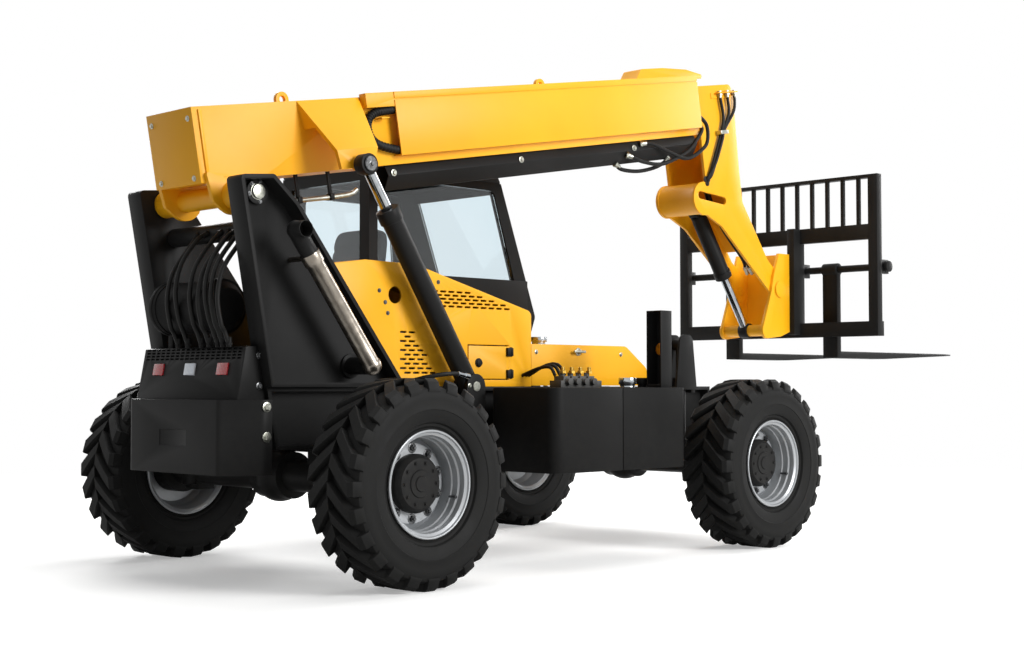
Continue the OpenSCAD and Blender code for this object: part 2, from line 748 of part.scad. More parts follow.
// Rim with its disc, hub and wheel nuts, drawn for the left side round the y axis
module rim() {
    half = rim_w / 2;
    flange = rim_d / 2;
    barrel = bead_r - rim_barrel_t;
    rotate([-90, 0, 0]) {
        rotate_extrude() {
            polygon([[barrel, -half], [flange, -half], [flange, -half + 8], [bead_r, -half + 14],
                [bead_r, half - 14], [flange, half - 8], [flange, half], [barrel, half]]);
            polygon([[hub_r - 20, disc_y - disc_t], [hub_r + 50, disc_y - disc_t], [barrel + 1, disc_y - 50],
                [barrel + 1, disc_y - 30], [hub_r + 50, disc_y], [hub_r - 20, disc_y]]);
        }
        difference() {
            rotate_extrude()
                polygon([[0, hub_back_y], [hub_r - 8, hub_back_y], [hub_r - 8, disc_y - disc_t + 1],
                    [hub_r, disc_y - 1], [hub_r, hub_face_y - 30], [hub_r - 24, hub_face_y], [0, hub_face_y]]);
            translate([0, 0, hub_back_y - past])
                cylinder(r = spindle_r + seat, h = disc_y - 40 - hub_back_y + past + play);
        }
        for (i = [0 : nut_count - 1])
            rotate([0, 0, i * 360 / nut_count]) translate([nut_pitch_r, 0, disc_y - 1])
                cylinder(r = 15, h = 26, $fn = 6);
    }
}

// Tyre, drawn round the y axis. Rings of points run from the left bead over the lugs to the right bead.
// A lug takes four points of a ring: the foot and the top of its rear flank, then of its front flank.
lug_pitch = 360 / lug_count;
lug_top_half = 0.247 * lug_pitch;
lug_foot_half = 0.313 * lug_pitch;
lug_flanks = [-lug_foot_half, -lug_top_half, lug_top_half, lug_foot_half];
tread_points = 4 * lug_count;

function on_wheel(r, y, a) = [r * sin(a), y, r * cos(a)];
function plain_ring(n, shift, r, y) = [for (i = [0 : n - 1]) on_wheel(r, y, (i + shift) * 360 / n)];
// Angle of a tread point; the right half's lugs stand half a pitch behind the left half's
function tread_angle(i, turn, right) = let (j = right ? i + 2 : i)
    floor(j / 4) * lug_pitch + lug_flanks[j % 4] + turn - (right ? lug_pitch / 2 : 0);
function lug_top(i, right) = let (k = (right ? i + 2 : i) % 4) k == 1 || k == 2;
function shoulder_ring(r, y, right) =
    [for (i = [0 : tread_points - 1]) on_wheel(r, y, tread_angle(i, 0, right))];
function tread_ring(y_top, y_foot, turn, right) = let (r = tyre_d / 2)
    [for (i = [0 : tread_points - 1]) lug_top(i, right) ?
        on_wheel(r / cos(lug_top_half), y_top, tread_angle(i, turn, right)) :
        on_wheel(r - lug_depth, y_foot, tread_angle(i, turn, right))];
// Faces between a ring and the next one with as many points, or with twice as many
function level_faces(a, b, n) = [for (i = [0 : n - 1]) let (j = (i + 1) % n)
    each [[a + i, b + i, b + j], [a + i, b + j, a + j]]];
function doubling_faces(a, b, n) = [for (i = [0 : n - 1]) let (j = (i + 1) % n, k = (2 * i + 2) % (2 * n))
    each [[a + i, b + 2 * i, b + 2 * i + 1], [a + i, b + 2 * i + 1, a + j], [a + j, b + 2 * i + 1, b + k]]];
function flipped(faces) = [for (f = faces) [f[2], f[1], f[0]]];

module tyre() {
    r = tyre_d / 2;
    half = tyre_w / 2;
    bead_half = rim_w / 2 - 18;
    bead = (bead_r + seat) / cos(180 / lug_count);
    n = lug_count;
    left = concat(plain_ring(n, 0, bead, bead_half), plain_ring(2 * n, -0.5, 0.7 * r, half),
        shoulder_ring(0.87 * r, half - 4, false), tread_ring(half - 14, half - 42, 0, false),
        tread_ring(2, 2, lug_pitch, false));
    right = concat(plain_ring(n, 0, bead, -bead_half), plain_ring(2 * n, -0.5, 0.7 * r, -half),
        shoulder_ring(0.87 * r, 4 - half, true), tread_ring(14 - half, 42 - half, 0, true),
        tread_ring(-2, -2, lug_pitch, true));
    side = concat(doubling_faces(0, n, n), doubling_faces(n, 3 * n, 2 * n), level_faces(3 * n, 7 * n, 4 * n),
        level_faces(7 * n, 11 * n, 4 * n));
    all = len(left);
    polyhedron(concat(left, right), concat(flipped(side),
        [for (f = side) [f[0] + all, f[1] + all, f[2] + all]],
        flipped(level_faces(11 * n, 11 * n + all, 4 * n)), level_faces(0, all, n)));
}

module wheel_place(x, left) {
    translate([x, 0, axle_z]) mirror([0, left ? 0 : 1, 0]) translate([0, wheel_y, 0]) children();
}
module knuckle_place(x, left) {
    translate([x, 0, axle_z]) mirror([0, left ? 0 : 1, 0]) translate([0, kingpin_y, 0]) children();
}
module knuckle_front_left() { color(black) knuckle_place(wheelbase, true) knuckle(); }
module knuckle_front_right() { color(black) knuckle_place(wheelbase, false) knuckle(); }
module knuckle_rear_left() { color(black) knuckle_place(0, true) knuckle(); }
module knuckle_rear_right() { color(black) knuckle_place(0, false) knuckle(); }
module rim_front_left() { color(grey) wheel_place(wheelbase, true) rim(); }
module rim_front_right() { color(grey) wheel_place(wheelbase, false) rim(); }
module rim_rear_left() { color(grey) wheel_place(0, true) rim(); }
module rim_rear_right() { color(grey) wheel_place(0, false) rim(); }
module tyre_front_left() { color(rubber) wheel_place(wheelbase, true) tyre(); }
module tyre_front_right() { color(rubber) wheel_place(wheelbase, false) tyre(); }
module tyre_rear_left() { color(rubber) wheel_place(0, true) tyre(); }
module tyre_rear_right() { color(rubber) wheel_place(0, false) tyre(); }

// Cab

cab_rear = 860;
cab_floor = 1050;
cab_low_rear = 1025;
cab_split = cab_top - 70;
cab_front_top = 1935;
cab_nose = [2280, 1440];
cab_toe = [wheelbase - tyre_d / 2 - 185, cab_floor];
cab_outline = [[cab_low_rear, cab_floor], cab_toe, cab_nose, [cab_front_top, cab_top], [cab_rear, cab_top],
    [cab_rear, 1340]];
cab_radius = [0, 0, 50, 90, 60, 40];
side_window = [[985, 1470], [2150, 1470], [1895, 2240], [925, 2240], [925, 1560]];
door_outline = [[1060, 1105], [1850, 1105], [1850, 1480], [1800, 2260], [940, 2260], [940, 1385]];
hinge_pin_r = 12;
door_hinge = [door_outline[4][0] - play / 2, cab_y1 + hinge_pin_r + 1];
door_barrel_z = [1500, 2050];
door_barrel_h = 45;
door_window = [[1030, 1480], [1780, 1480], [1732, 2190], [1010, 2190], [1010, 1480 + 20]];
screen_vec = [cab_front_top, cab_top] - cab_nose;
screen_len = norm(screen_vec);
screen_low = 55;
screen_high = 130;
rear_z0 = 1430;
rear_z1 = 2220;

// Frame on the windscreen's outer face, x outward and z up the slope
module on_screen() {
    at_xz(cab_nose) rotate([0, atan2(screen_vec[0], screen_vec[1]), 0]) children();
}
module screen_pane(t0, t1, gap) {
    on_screen() block([t0, cab_y0 + cab_wall + gap, screen_low + gap],
        [t1, cab_y1 - cab_wall - gap, screen_len - screen_high - gap]);
}
module rear_pane(x0, x1, gap) {
    block([x0, cab_y0 + 2 * cab_wall + gap, rear_z0 + gap], [x1, cab_y1 - 2 * cab_wall - gap, rear_z1 - gap]);
}

module cab_body() {
    difference() {
        side_plate(rounded(cab_outline, cab_radius), cab_y0, cab_y1);
        side_plate(inset(cab_outline, cab_wall), cab_y0 + cab_wall, cab_y1 - cab_wall);
    }
}

module cab_shell() {
    color(black) difference() {
        cab_body();
        block([0, 0, cab_split], [2 * cab_nose[0], 2 * cab_y1, 2 * cab_top]);
        side_plate(rounded(side_window, 50), cab_y0 - past, cab_y0 + cab_wall + past);
        side_plate(inset(rounded(door_outline, [60, 30, 0, 40, 40, 60]), -play), cab_y1 - cab_wall - past,
            cab_y1 + past);
        screen_pane(-2 * cab_wall, past, 0);
        rear_pane(cab_rear - past, cab_rear + cab_wall + past, 0);
    }
    color(black) for (z = door_barrel_z) translate([0, 0, z - seat - door_barrel_h]) {
        translate(door_hinge) cylinder(r = hinge_pin_r, h = door_barrel_h);
        block([door_hinge[0] - 40, cab_y1 - 1, 0], [door_hinge[0], door_hinge[1], door_barrel_h]);
    }
}

module cab_roof() {
    color(black) intersection() {
        cab_body();
        block([0, 0, cab_split + seat], [2 * cab_nose[0], 2 * cab_y1, 2 * cab_top]);
    }
}

module cab_glass() {
    inset_t = 12;
    color(glass_tint) {
        side_plate(inset(rounded(side_window, 50), seat), cab_y0 + inset_t, cab_y0 + inset_t + glass_t);
        screen_pane(-inset_t - glass_t, -inset_t, seat);
        rear_pane(cab_rear + inset_t, cab_rear + inset_t + glass_t, seat);
    }
}

module cab_door() {
    color(black) difference() {
        union() {
            side_plate(rounded(door_outline, [60, 30, 0, 40, 40, 60]), cab_y1 - cab_wall, cab_y1);
            for (z = door_barrel_z) translate([0, 0, z]) {
                translate(door_hinge) cylinder(r = hinge_pin_r, h = door_barrel_h);
                block([door_hinge[0], cab_y1 - 1, 0], [door_hinge[0] + 50, door_hinge[1], door_barrel_h]);
            }
        }
        side_plate(rounded(door_window, [50, 50, 50, 50, 0]), cab_y1 - cab_wall - past, cab_y1 + past);
    }
}

module door_glass() {
    inset_t = 12;
    color(glass_tint) side_plate(inset(rounded(door_window, [50, 50, 50, 50, 0]), seat),
        cab_y1 - inset_t - glass_t, cab_y1 - inset_t);
}

// Side box with steps that carries the cab
module cab_base() {
    step_d = 170;
    color(black) difference() {
        translate([0, 0, tank_bottom + 60]) linear_extrude(cab_floor - seat - tank_bottom - 60)
            polygon(rounded([[cab_low_rear - 40, tank_in_y], [cab_toe[0], tank_in_y], [cab_toe[0], cab_y1],
                [cab_low_rear - 40, cab_y1]], [0, 0, 40, 40]));
        for (z = [660, 880])
            block([cab_low_rear + 200, cab_y1 - step_d, z], [cab_low_rear + 700, cab_y1 + past, z + 150]);
    }
}

seat_x = 1130;
seat_mid_y = (cab_y0 + cab_y1) / 2;
seat_z = 1330;
cushion_t = 110;
back_lean = 8;
// Operator's seat: a box, the cushion and the backrest
module seat() {
    color("#33312F") translate([seat_x, seat_mid_y, 0]) {
        block([60, -170, cab_floor + cab_wall + seat], [400, 170, seat_z]);
        block([20, -235, seat_z], [480, 235, seat_z + cushion_t]);
        translate([40, 0, seat_z + cushion_t - 20]) rotate([0, -back_lean, 0])
            block([-50, -225, 0], [50, 225, 560]);
    }
}

wheel_hub_xz = [1760, 1590];
column_x = 1925;
column_lean = 24;
steer_r = 180;
// Steering wheel on its column, with the column's foot
module steering_wheel() {
    floor_z = cab_floor + cab_wall + seat;
    color("#33312F") translate([0, seat_mid_y, 0]) {
        bar_between([column_x, floor_z + 30], wheel_hub_xz, 38);
        block([column_x - 65, -70, floor_z], [column_x + 75, 70, floor_z + 55]);
        at_xz(wheel_hub_xz) rotate([0, -column_lean, 0]) {
            rotate_extrude() translate([steer_r, 0]) circle(r = 15);
            cylinder(r = 45, h = 30, center = true);
            for (a = [90, 210, 330]) rotate([0, 0, a]) translate([0, -12, -7]) cube([steer_r, 24, 14]);
        }
    }
}

// Boom

saddle_rear = [[500, boom_n1], [560, boom_n0 - 5]];
saddle_front = [[930, boom_n1], [790, boom_n0 - 5]];
saddle_y = 435;
saddle_low = 170;
saddle_t = 24;

module boom_tube(w, n0, n1, wall, s0, s1) {
    difference() {
        block([s0, -w / 2, n0], [s1, w / 2, n1]);
        block([s0 - past, -w / 2 + wall, n0 + wall], [s1 + past, w / 2 - wall, n1 - wall]);
    }
}
// Widened part that carries the lift cylinders, closed at its rear
module saddle() {
    side = [saddle_rear[1], saddle_front[1], saddle_front[0], saddle_rear[0]];
    intersection() {
        side_plate(side, -saddle_y - past, saddle_y + past);
        mirrored_pair() difference() {
            saddle_wing(0, 0);
            saddle_wing(saddle_t, saddle_t);
        }
    }
}
// One wing of the saddle, from the boom's side wall outward
module saddle_wing(shrink, back) {
    h = boom_w / 2;
    low = boom_n0 - 5 - (shrink > 0 ? past : 0);
    top = boom_n1 - 1.3 * shrink;
    translate([saddle_rear[0][0] + back, 0, 0]) rotate([90, 0, 90])
        linear_extrude(saddle_front[0][0] - saddle_rear[0][0] + past)
            polygon([[h - 1, low], [saddle_y - shrink, low], [saddle_y - shrink, saddle_low - 0.4 * shrink],
                [h - 1, top]]);
}

lug_s = [560, 2610];
lug_r = 42;
lug_hole_r = 20;
lug_t = 24;
module lifting_lug(s) {
    translate([s, 0, boom_n1]) difference() {
        union() {
            translate([0, 0, 30]) bar_y(lug_r, -lug_t / 2, lug_t / 2);
            block([-lug_r, -lug_t / 2, -1], [lug_r, lug_t / 2, 30]);
        }
        translate([0, 0, 30]) bar_y(lug_hole_r, -lug_t, lug_t);
    }
}

// Guard over the hoses at the front of the boom's top: a folded sheet, open below past the boom's end
guard_outline = [[3330, boom_n1 - 1], [4050, boom_n1 - 1], [4066, boom_n1 + 24], [3890, boom_n1 + 66],
    [3640, boom_n1 + 84], [3410, boom_n1 + 84]];
guard_room = [[3420, boom_n1 + 2], [4100, boom_n1 + 2], [4100, boom_n1 + 8], [3888, boom_n1 + 57],
    [3640, boom_n1 + 75], [3420, boom_n1 + 75]];
hose_guard_y = [-190, -40];
hose_guard_t = 8;
module hose_guard() {
    difference() {
        side_plate(rounded(guard_outline, [0, 0, 14, 30, 20, 30]), hose_guard_y[0], hose_guard_y[1]);
        side_plate(guard_room, hose_guard_y[0] + hose_guard_t, hose_guard_y[1] - hose_guard_t);
        block([boom_front + 30, hose_guard_y[0] + hose_guard_t, boom_n1 - past],
            [boom_front + 300, hose_guard_y[1] - hose_guard_t, boom_n1 + 10]);
    }
}
// Cheek plate that hangs from the boom's side and takes the pivot, lobed below
cheek_outline = [[-146, boom_n0 + 62], [-122, -20], [-74, -70], [74, -70], [128, 20], [230, boom_n0 + 6],
    [-5, boom_n0 + 6]];
module cheek() {
    translate([0, boom_w / 2 + cheek_t, 0]) rotate([90, 0, 0]) linear_extrude(cheek_t + 1) {
        polygon(rounded(cheek_outline, [14, 20, 0, 0, 30, 0, 0]));
        circle(r = boom_hub_r);
    }
    bar_y(hub_boss_r, boom_w / 2 + cheek_t - 1, hub_half);
}

module boom_outer() {
    color(yellow) boom_frame() difference() {
        union() {
            boom_tube(boom_w, boom_n0, boom_n1, boom_wall, boom_rear, boom_front);
            block([boom_rear, -boom_w / 2, boom_n0], [boom_rear + boom_wall, boom_w / 2, boom_n1]);
            mirrored_pair() cheek();
            bar_y(hub_tube_r, -boom_w / 2 - 1, boom_w / 2 + 1);
            saddle();
            hose_guard();
            for (s = lug_s) lifting_lug(s);
            mirrored_pair() translate([lift_eye[0], 0, lift_eye[1]])
                bar_y(eye_pin_r, saddle_y - saddle_t - 1, lift_y - eye_w / 2 - play);
        }
        bar_y(pin_r + seat, -rail_y, rail_y);
    }
}

cover_y0 = boom_w / 2;
cover_d = 62;
cover_s0 = 1140;
cover_s1 = boom_front - 30;
cover_t = 8;
strip_s0 = saddle_front[0][0] + play;
strip_n0 = boom_n1 - 65;
// Cover over the hoses on the boom's right side; its top strip runs on to the saddle
module boom_cover() {
    outer = -cover_y0 - cover_d;
    color(yellow) boom_frame() difference() {
        union() {
            block([cover_s0, outer, boom_n0 + 45], [cover_s1, -cover_y0 - seat, boom_n1 + 15]);
            block([strip_s0, outer + 6, strip_n0], [cover_s0 + 1, -cover_y0 - seat, boom_n1 + 15]);
        }
        block([cover_s0 - past, outer + cover_t, boom_n0 + 45 + cover_t],
            [cover_s1 + past, -cover_y0 + past, strip_n0]);
        block([strip_s0 + 70, outer + 6 + cover_t, strip_n0 - past],
            [cover_s0 + 2, -cover_y0 + past, boom_n1 - 20]);
        // Groove below the top strip
        block([cover_s0 - past, outer - past, boom_n1 - 30], [cover_s1 + past, outer + 6, boom_n1 - 22]);
    }
}

tray_s0 = 1080;
tray_s1 = boom_front - 20;
tray_outline = [[-95, -65], [-95, boom_n0 - seat], [-178, boom_n0 - seat], [-203, 16], [-150, -65]];
tray_t = 6;
// Folded channel under the boom, open at its ends
module hose_tray() {
    color(black) boom_frame() translate([tray_s0, 0, 0]) rotate([90, 0, 90]) difference() {
        linear_extrude(tray_s1 - tray_s0) polygon(tray_outline);
        translate([0, 0, -past]) linear_extrude(tray_s1 - tray_s0 + 2 * past)
            polygon(inset(tray_outline, tray_t));
    }
}

// Pads that guide one boom section in the next, fused to the inner one
module pads(w, n0, n1, gap_y, gap_n, s0) {
    g = [0, gap_y - seat, gap_n - seat];
    depth = 5;
    difference() {
        block([s0, -w / 2, n0] - g, [s0 + pad_len, w / 2, n1] + g);
        block([s0 - past, -w / 2 + depth, n0 + depth], [s0 + pad_len + past, w / 2 - depth, n1 - depth]);
    }
}

module boom_mid() {
    color(yellow) boom_frame() {
        boom_tube(mid_w, mid_n0, mid_n1, mid_wall, mid_rear, mid_front);
        pads(mid_w, mid_n0, mid_n1, mid_gap, mid_gap, mid_rear);
    }
}

module boom_inner() {
    gap_y = (mid_w - inner_w) / 2 - mid_wall;
    gap_n = inner_n0 - mid_n0 - mid_wall;
    color(yellow) boom_frame() {
        boom_tube(inner_w, inner_n0, inner_n1, inner_wall, inner_rear, inner_front);
        pads(inner_w, inner_n0, inner_n1, gap_y, gap_n, inner_rear);
        block([inner_front - 14, -inner_w / 2, inner_n0], [inner_front, inner_w / 2, inner_n1]);
    }
}

// Goose neck at the boom's end: two plates, the bent web round the knee and the front web
neck_rear_s = mid_front + play + 14;
neck_outline = [[neck_rear_s, inner_n1], [neck_rear_s, inner_n0 - 20], neck_tube + [40, 80],
    neck_tube + [-60, 60], neck_tube + [-60, -70], [4131, -579], coupler_pin + [-60, -35], coupler_pin + [50, -30],
    coupler_pin + [50, 100], [4625, -874], [4398, -433], [4400, -200], [4425, 330], [4400, inner_n1]];
neck_tip_r = 78;
// Middle line and half width of the long window in the plates
neck_window = [[3925, -337], [4180, -402]];
neck_window_half = 27;
function slot_outline(a, b, h) = let (d = unit(b - a) * h, w = [-d[1], d[0]])
    rounded([a - d - w, b + d - w, b + d + w, a - d + w], 0.96 * h);
// Middle line of the front web, from the boom's end down the lower arm
neck_web = [[4382, inner_n0 - 10], [4382, -425], [4560, -780]];
neck_web_t = 20;
// Directions between which the bent rear web wraps the neck's knee
knee_from = 70;
knee_to = 255;
module neck_plate(t) {
    rotate([90, 0, 0]) linear_extrude(t) difference() {
        union() {
            polygon(rounded(neck_outline, [0, 0, 0, 0, 0, 0, 0, 0, 0, 0, 60, 0, 0, 45]));
            translate(neck_tube) circle(r = neck_lobe_r);
            translate(coupler_pin) circle(r = neck_tip_r);
        }
        polygon(slot_outline(neck_window[0], neck_window[1], neck_window_half));
        translate(coupler_pin) circle(r = eye_pin_r + 8 + seat);
    }
}
module neck() {
    half = neck_y - 1;
    reach = 2 * neck_tube_r;
    color(yellow) boom_frame() {
        mirrored_pair() translate([0, neck_y, 0]) neck_plate(neck_t);
        at_xz(neck_tube) difference() {
            bar_y(neck_tube_r, -half, half);
            bar_y(neck_tube_r - neck_tube_t, -half - past, half + past);
            side_plate([[0, 0], reach * [cos(knee_to), sin(knee_to)], [reach, -reach], [reach, reach],
                reach * [cos(knee_from), sin(knee_from)]], -half - past, half + past);
        }
        for (i = [0, 1])
            let (d = unit(neck_web[i + 1] - neck_web[i]) * neck_web_t / 2, across = [-d[1], d[0]])
                side_plate([neck_web[i] - across, neck_web[i + 1] + d - across, neck_web[i + 1] + d + across,
                    neck_web[i] + across], -half, half);
        at_xz(tilt_base) bar_y(eye_pin_r, -half, half);
    }
}

// Cylinders

lift_dir = unit(lift_head - lift_foot);
module lift_barrels() {
    color(black) mirrored_pair() translate([0, lift_y, 0]) difference() {
        union() {
            bar_between(lift_foot, lift_foot + lift_gland * lift_dir, lift_r);
            bar_between(lift_foot + (lift_gland - 70) * lift_dir, lift_foot + lift_gland * lift_dir,
                lift_r + 8);
            at_xz(lift_foot) bar_y(eye_r, -eye_w / 2, eye_w / 2);
        }
        at_xz(lift_foot) bar_y(eye_pin_r + seat, -lift_r - past, lift_r + past);
        at_xz(lift_foot) mirrored_pair() bar_y(clevis_top + play, eye_w / 2, 2 * lift_r);
        bar_between(lift_foot + lift_bore_start * lift_dir, lift_foot + (lift_gland + 50) * lift_dir,
            lift_rod_r + seat);
    }
}
module lift_rods() {
    color(chrome) mirrored_pair() translate([0, lift_y, 0]) difference() {
        union() {
            bar_between(lift_foot + lift_rod_start * lift_dir, lift_head - (eye_r - 22) * lift_dir,
                lift_rod_r);
            at_xz(lift_head) bar_y(eye_r - 6, -eye_w / 2, eye_w / 2);
        }
        at_xz(lift_head) bar_y(eye_pin_r + 4, -eye_w, eye_w);
    }
}
tilt_dir = unit(p2 - tilt_foot);
module tilt_barrel() {
    color(black) difference() {
        union() {
            bar_between(tilt_foot + 30 * tilt_dir, tilt_foot + tilt_gland * tilt_dir, tilt_r);
            bar_between(tilt_foot + (tilt_gland - 50) * tilt_dir, tilt_foot + tilt_gland * tilt_dir,
                tilt_r + 6);
            at_xz(tilt_foot) bar_y(tilt_eye_r, -eye_w / 2, eye_w / 2);
        }
        at_xz(tilt_foot) bar_y(eye_pin_r + seat, -2 * tilt_r, 2 * tilt_r);
        bar_between(tilt_foot + tilt_bore_start * tilt_dir, tilt_foot + (tilt_gland + 50) * tilt_dir,
            tilt_rod_r + seat);
    }
}
module tilt_rod() {
    color(chrome) difference() {
        union() {
            bar_between(p2 - tilt_rod_len * tilt_dir, p2 - (tilt_eye_r - 24) * tilt_dir, tilt_rod_r);
            at_xz(p2) bar_y(tilt_eye_r, -eye_w / 2, eye_w / 2);
        }
        at_xz(p2) bar_y(eye_pin_r + 4, -eye_w, eye_w);
    }
}

// Carriage, drawn from the coupler's pivot

ear_t = 24;
ear_y = neck_y + seat;
coupler_front = 130;
coupler_z = [-310, 262];
coupler_outline = [[coupler_front, coupler_z[1]], [0, coupler_z[1]], [-70, 80], [-86, 0], tilt_eye + [-58, 10],
    tilt_eye + [10, -58], [20, -345], [coupler_front, coupler_z[0]]];
module coupler_plate() {
    rotate([90, 0, 0]) linear_extrude(ear_t) {
        polygon(coupler_outline);
        circle(r = 88);
        translate(tilt_eye) circle(r = 60);
    }
}
// Coupler that carries the carriage: two ears and a back plate
module coupler() {
    color(yellow) at_xz(p1) {
        mirrored_pair() translate([0, ear_y + ear_t, 0]) coupler_plate();
        mirrored_pair() bar_y(eye_pin_r + 8, ear_y - neck_t - seat, ear_y + 1);
        mirrored_pair() bar_y(60, ear_y + ear_t - 1, ear_y + ear_t + 16);
        block([coupler_front - 24, -ear_y - 1, coupler_z[0]], [coupler_front, ear_y + 1, coupler_z[1]]);
    }
}

post_w = 75;
rail_h = 105;
low_rail = [-350, -245];
mid_rail = [342, 450];
bar_count = 12;
bar_w = 22;
upright_y = 205;
upright_w = 60;
module carriage() {
    x0 = carriage_x;
    x1 = carriage_x + carriage_d;
    lug_x = fork_x + fork_t / 2;
    color(black) at_xz(p1) {
        for (y = [-carriage_y, carriage_y - post_w])
            block([x0, y, low_rail[0]], [x1, y + post_w, carriage_top]);
        block([x0, -carriage_y, low_rail[0]], [fork_x - seat, carriage_y, low_rail[1]]);
        block([x0 + 5, -carriage_y, mid_rail[0]], [x1 - 5, carriage_y, mid_rail[1]]);
        block([x0, -carriage_y, carriage_top - 24], [x1, carriage_y, carriage_top]);
        for (i = [1 : bar_count])
            let (y = -carriage_y + post_w / 2 + i * (2 * carriage_y - post_w) / (bar_count + 1))
                block([x0 + 15, y - bar_w / 2, mid_rail[1] - 1], [x1 - 15, y + bar_w / 2, carriage_top - 23]);
        for (y = [-upright_y - upright_w / 2, upright_y - upright_w / 2])
            block([coupler_front + seat, y, low_rail[0] + 20], [x1, y + upright_w, mid_rail[1]]);
        translate([lug_x, 0, shaft_z]) bar_y(shaft_r, -carriage_y - 35, carriage_y + 35);
        translate([lug_x, 0, shaft_z]) mirrored_pair()
            bar_y(shaft_r + 14, carriage_y + 4, carriage_y + 34);
        for (y = [-carriage_y + 5, carriage_y - 35, -upright_y - 15, upright_y - 15])
            block([x1 - 1, y, shaft_z - 50], [lug_x + 50, y + 30, shaft_z + 50]);
    }
}

fork_eye_r = 46;
fork_tip_t = 12;
module fork(side) {
    shank = [[fork_x, fork_under + fork_t], [fork_x + fork_t, fork_under + fork_t],
        [fork_x + fork_t, shaft_z], [fork_x, shaft_z]];
    blade = [[fork_x, fork_under], [fork_x + 0.4 * fork_len, fork_under],
        [fork_x + fork_t + fork_len, fork_under + fork_t - fork_tip_t],
        [fork_x + fork_t + fork_len, fork_under + fork_t], [fork_x, fork_under + fork_t]];
    color(black) at_xz(p1) translate([0, side * fork_y, 0]) difference() {
        union() {
            side_plate(shank, -fork_w / 2, fork_w / 2);
            intersection() {
                side_plate(rounded(blade, [40, 0, 0, 0, 0]), -fork_w / 2, fork_w / 2);
                translate([0, 0, fork_under - past]) linear_extrude(fork_t + 2 * past)
                    polygon([[fork_x, -fork_w / 2], [fork_tip_x - p1[0] - 160, -fork_w / 2],
                        [fork_tip_x - p1[0], -fork_w / 4], [fork_tip_x - p1[0], fork_w / 4],
                        [fork_tip_x - p1[0] - 160, fork_w / 2], [fork_x, fork_w / 2]]);
            }
            translate([fork_x + fork_t / 2, 0, shaft_z]) bar_y(fork_eye_r, -fork_w / 2, fork_w / 2);
            block([fork_x, -fork_w / 2, fork_under + 1],
                [fork_x + fork_t, fork_w / 2, fork_under + fork_t + 1]);
        }
        translate([fork_x + fork_t / 2, 0, shaft_z]) bar_y(shaft_r + seat, -fork_w, fork_w);
    }
}
module fork_left() { fork(1); }
module fork_right() { fork(-1); }

placed() frame_left();
placed() frame_right();
placed() cross_members();
placed() boom_pin();
placed() counterweight();
placed() tail_panel();
placed() lamps();
placed() engine();
placed() air_cleaner();
placed() exhaust();
placed() hood();
placed() service_door();
placed() front_lid();
placed() tank();
placed() valve_block();
placed() light_guard();
placed() axles();
placed() levelling_cylinder();
placed() cab_base();
placed() cab_shell();
placed() cab_roof();
placed() cab_glass();
placed() cab_door();
placed() door_glass();
placed() seat();
placed() steering_wheel();
placed() knuckle_front_left();
placed() knuckle_front_right();
placed() knuckle_rear_left();
placed() knuckle_rear_right();
placed() rim_front_left();
placed() rim_front_right();
placed() rim_rear_left();
placed() rim_rear_right();
placed() tyre_front_left();
placed() tyre_front_right();
placed() tyre_rear_left();
placed() tyre_rear_right();
placed() boom_outer();
placed() boom_cover();
placed() hose_tray();
placed() boom_mid();
placed() boom_inner();
placed() neck();
placed() lift_barrels();
placed() lift_rods();
placed() tilt_barrel();
placed() tilt_rod();
placed() coupler();
placed() carriage();
placed() fork_left();
placed() fork_right();
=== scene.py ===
import json
import math

import bmesh
import bpy
from mathutils import Matrix, Vector

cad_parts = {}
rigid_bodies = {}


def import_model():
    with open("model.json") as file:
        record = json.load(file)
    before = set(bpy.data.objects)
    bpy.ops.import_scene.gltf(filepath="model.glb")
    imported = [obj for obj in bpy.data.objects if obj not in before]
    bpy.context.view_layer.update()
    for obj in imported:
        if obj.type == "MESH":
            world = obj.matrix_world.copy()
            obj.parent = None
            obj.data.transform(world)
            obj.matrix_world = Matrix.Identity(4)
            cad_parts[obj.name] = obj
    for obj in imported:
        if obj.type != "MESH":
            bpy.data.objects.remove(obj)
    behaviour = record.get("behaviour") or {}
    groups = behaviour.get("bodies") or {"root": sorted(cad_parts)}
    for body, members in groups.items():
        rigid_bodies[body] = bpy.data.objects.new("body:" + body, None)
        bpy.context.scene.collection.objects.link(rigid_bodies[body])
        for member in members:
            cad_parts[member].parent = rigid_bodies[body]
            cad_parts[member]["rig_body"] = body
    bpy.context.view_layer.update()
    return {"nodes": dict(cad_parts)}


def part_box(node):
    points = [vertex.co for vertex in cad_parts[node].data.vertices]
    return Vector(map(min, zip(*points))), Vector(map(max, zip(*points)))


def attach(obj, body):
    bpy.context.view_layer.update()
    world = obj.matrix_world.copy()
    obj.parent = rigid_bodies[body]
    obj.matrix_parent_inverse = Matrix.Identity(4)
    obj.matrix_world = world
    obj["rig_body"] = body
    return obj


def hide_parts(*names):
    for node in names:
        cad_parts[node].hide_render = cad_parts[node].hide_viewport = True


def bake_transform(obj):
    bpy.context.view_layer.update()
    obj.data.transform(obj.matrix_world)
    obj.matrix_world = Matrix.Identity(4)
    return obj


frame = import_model()
nodes = frame["nodes"]
scene = bpy.context.scene
scene.view_settings.view_transform = "Standard"
mm = 0.001
wheelCorners = ("front_left", "front_right", "rear_left", "rear_right")
print("frame loaded:", len(nodes), "nodes")


def middle(node):
    low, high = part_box(node)
    return (low + high) / 2


rearAxle = (middle("tyre_rear_left") + middle("tyre_rear_right")) / 2


# A place in mm: x forward of the rear axle, y to the left, z above the ground
def at(x, y, z):
    return Vector((rearAxle.x + x * mm, y * mm, z * mm))


# Camera, at the photograph's viewing angle
cameraLook = {"place": (-5020.6, -6739.2, 997.8), "yaw": 45.18, "pitch": 2.3, "lens": 54.23, "sensor": 36.0,
              "farthest": 200}


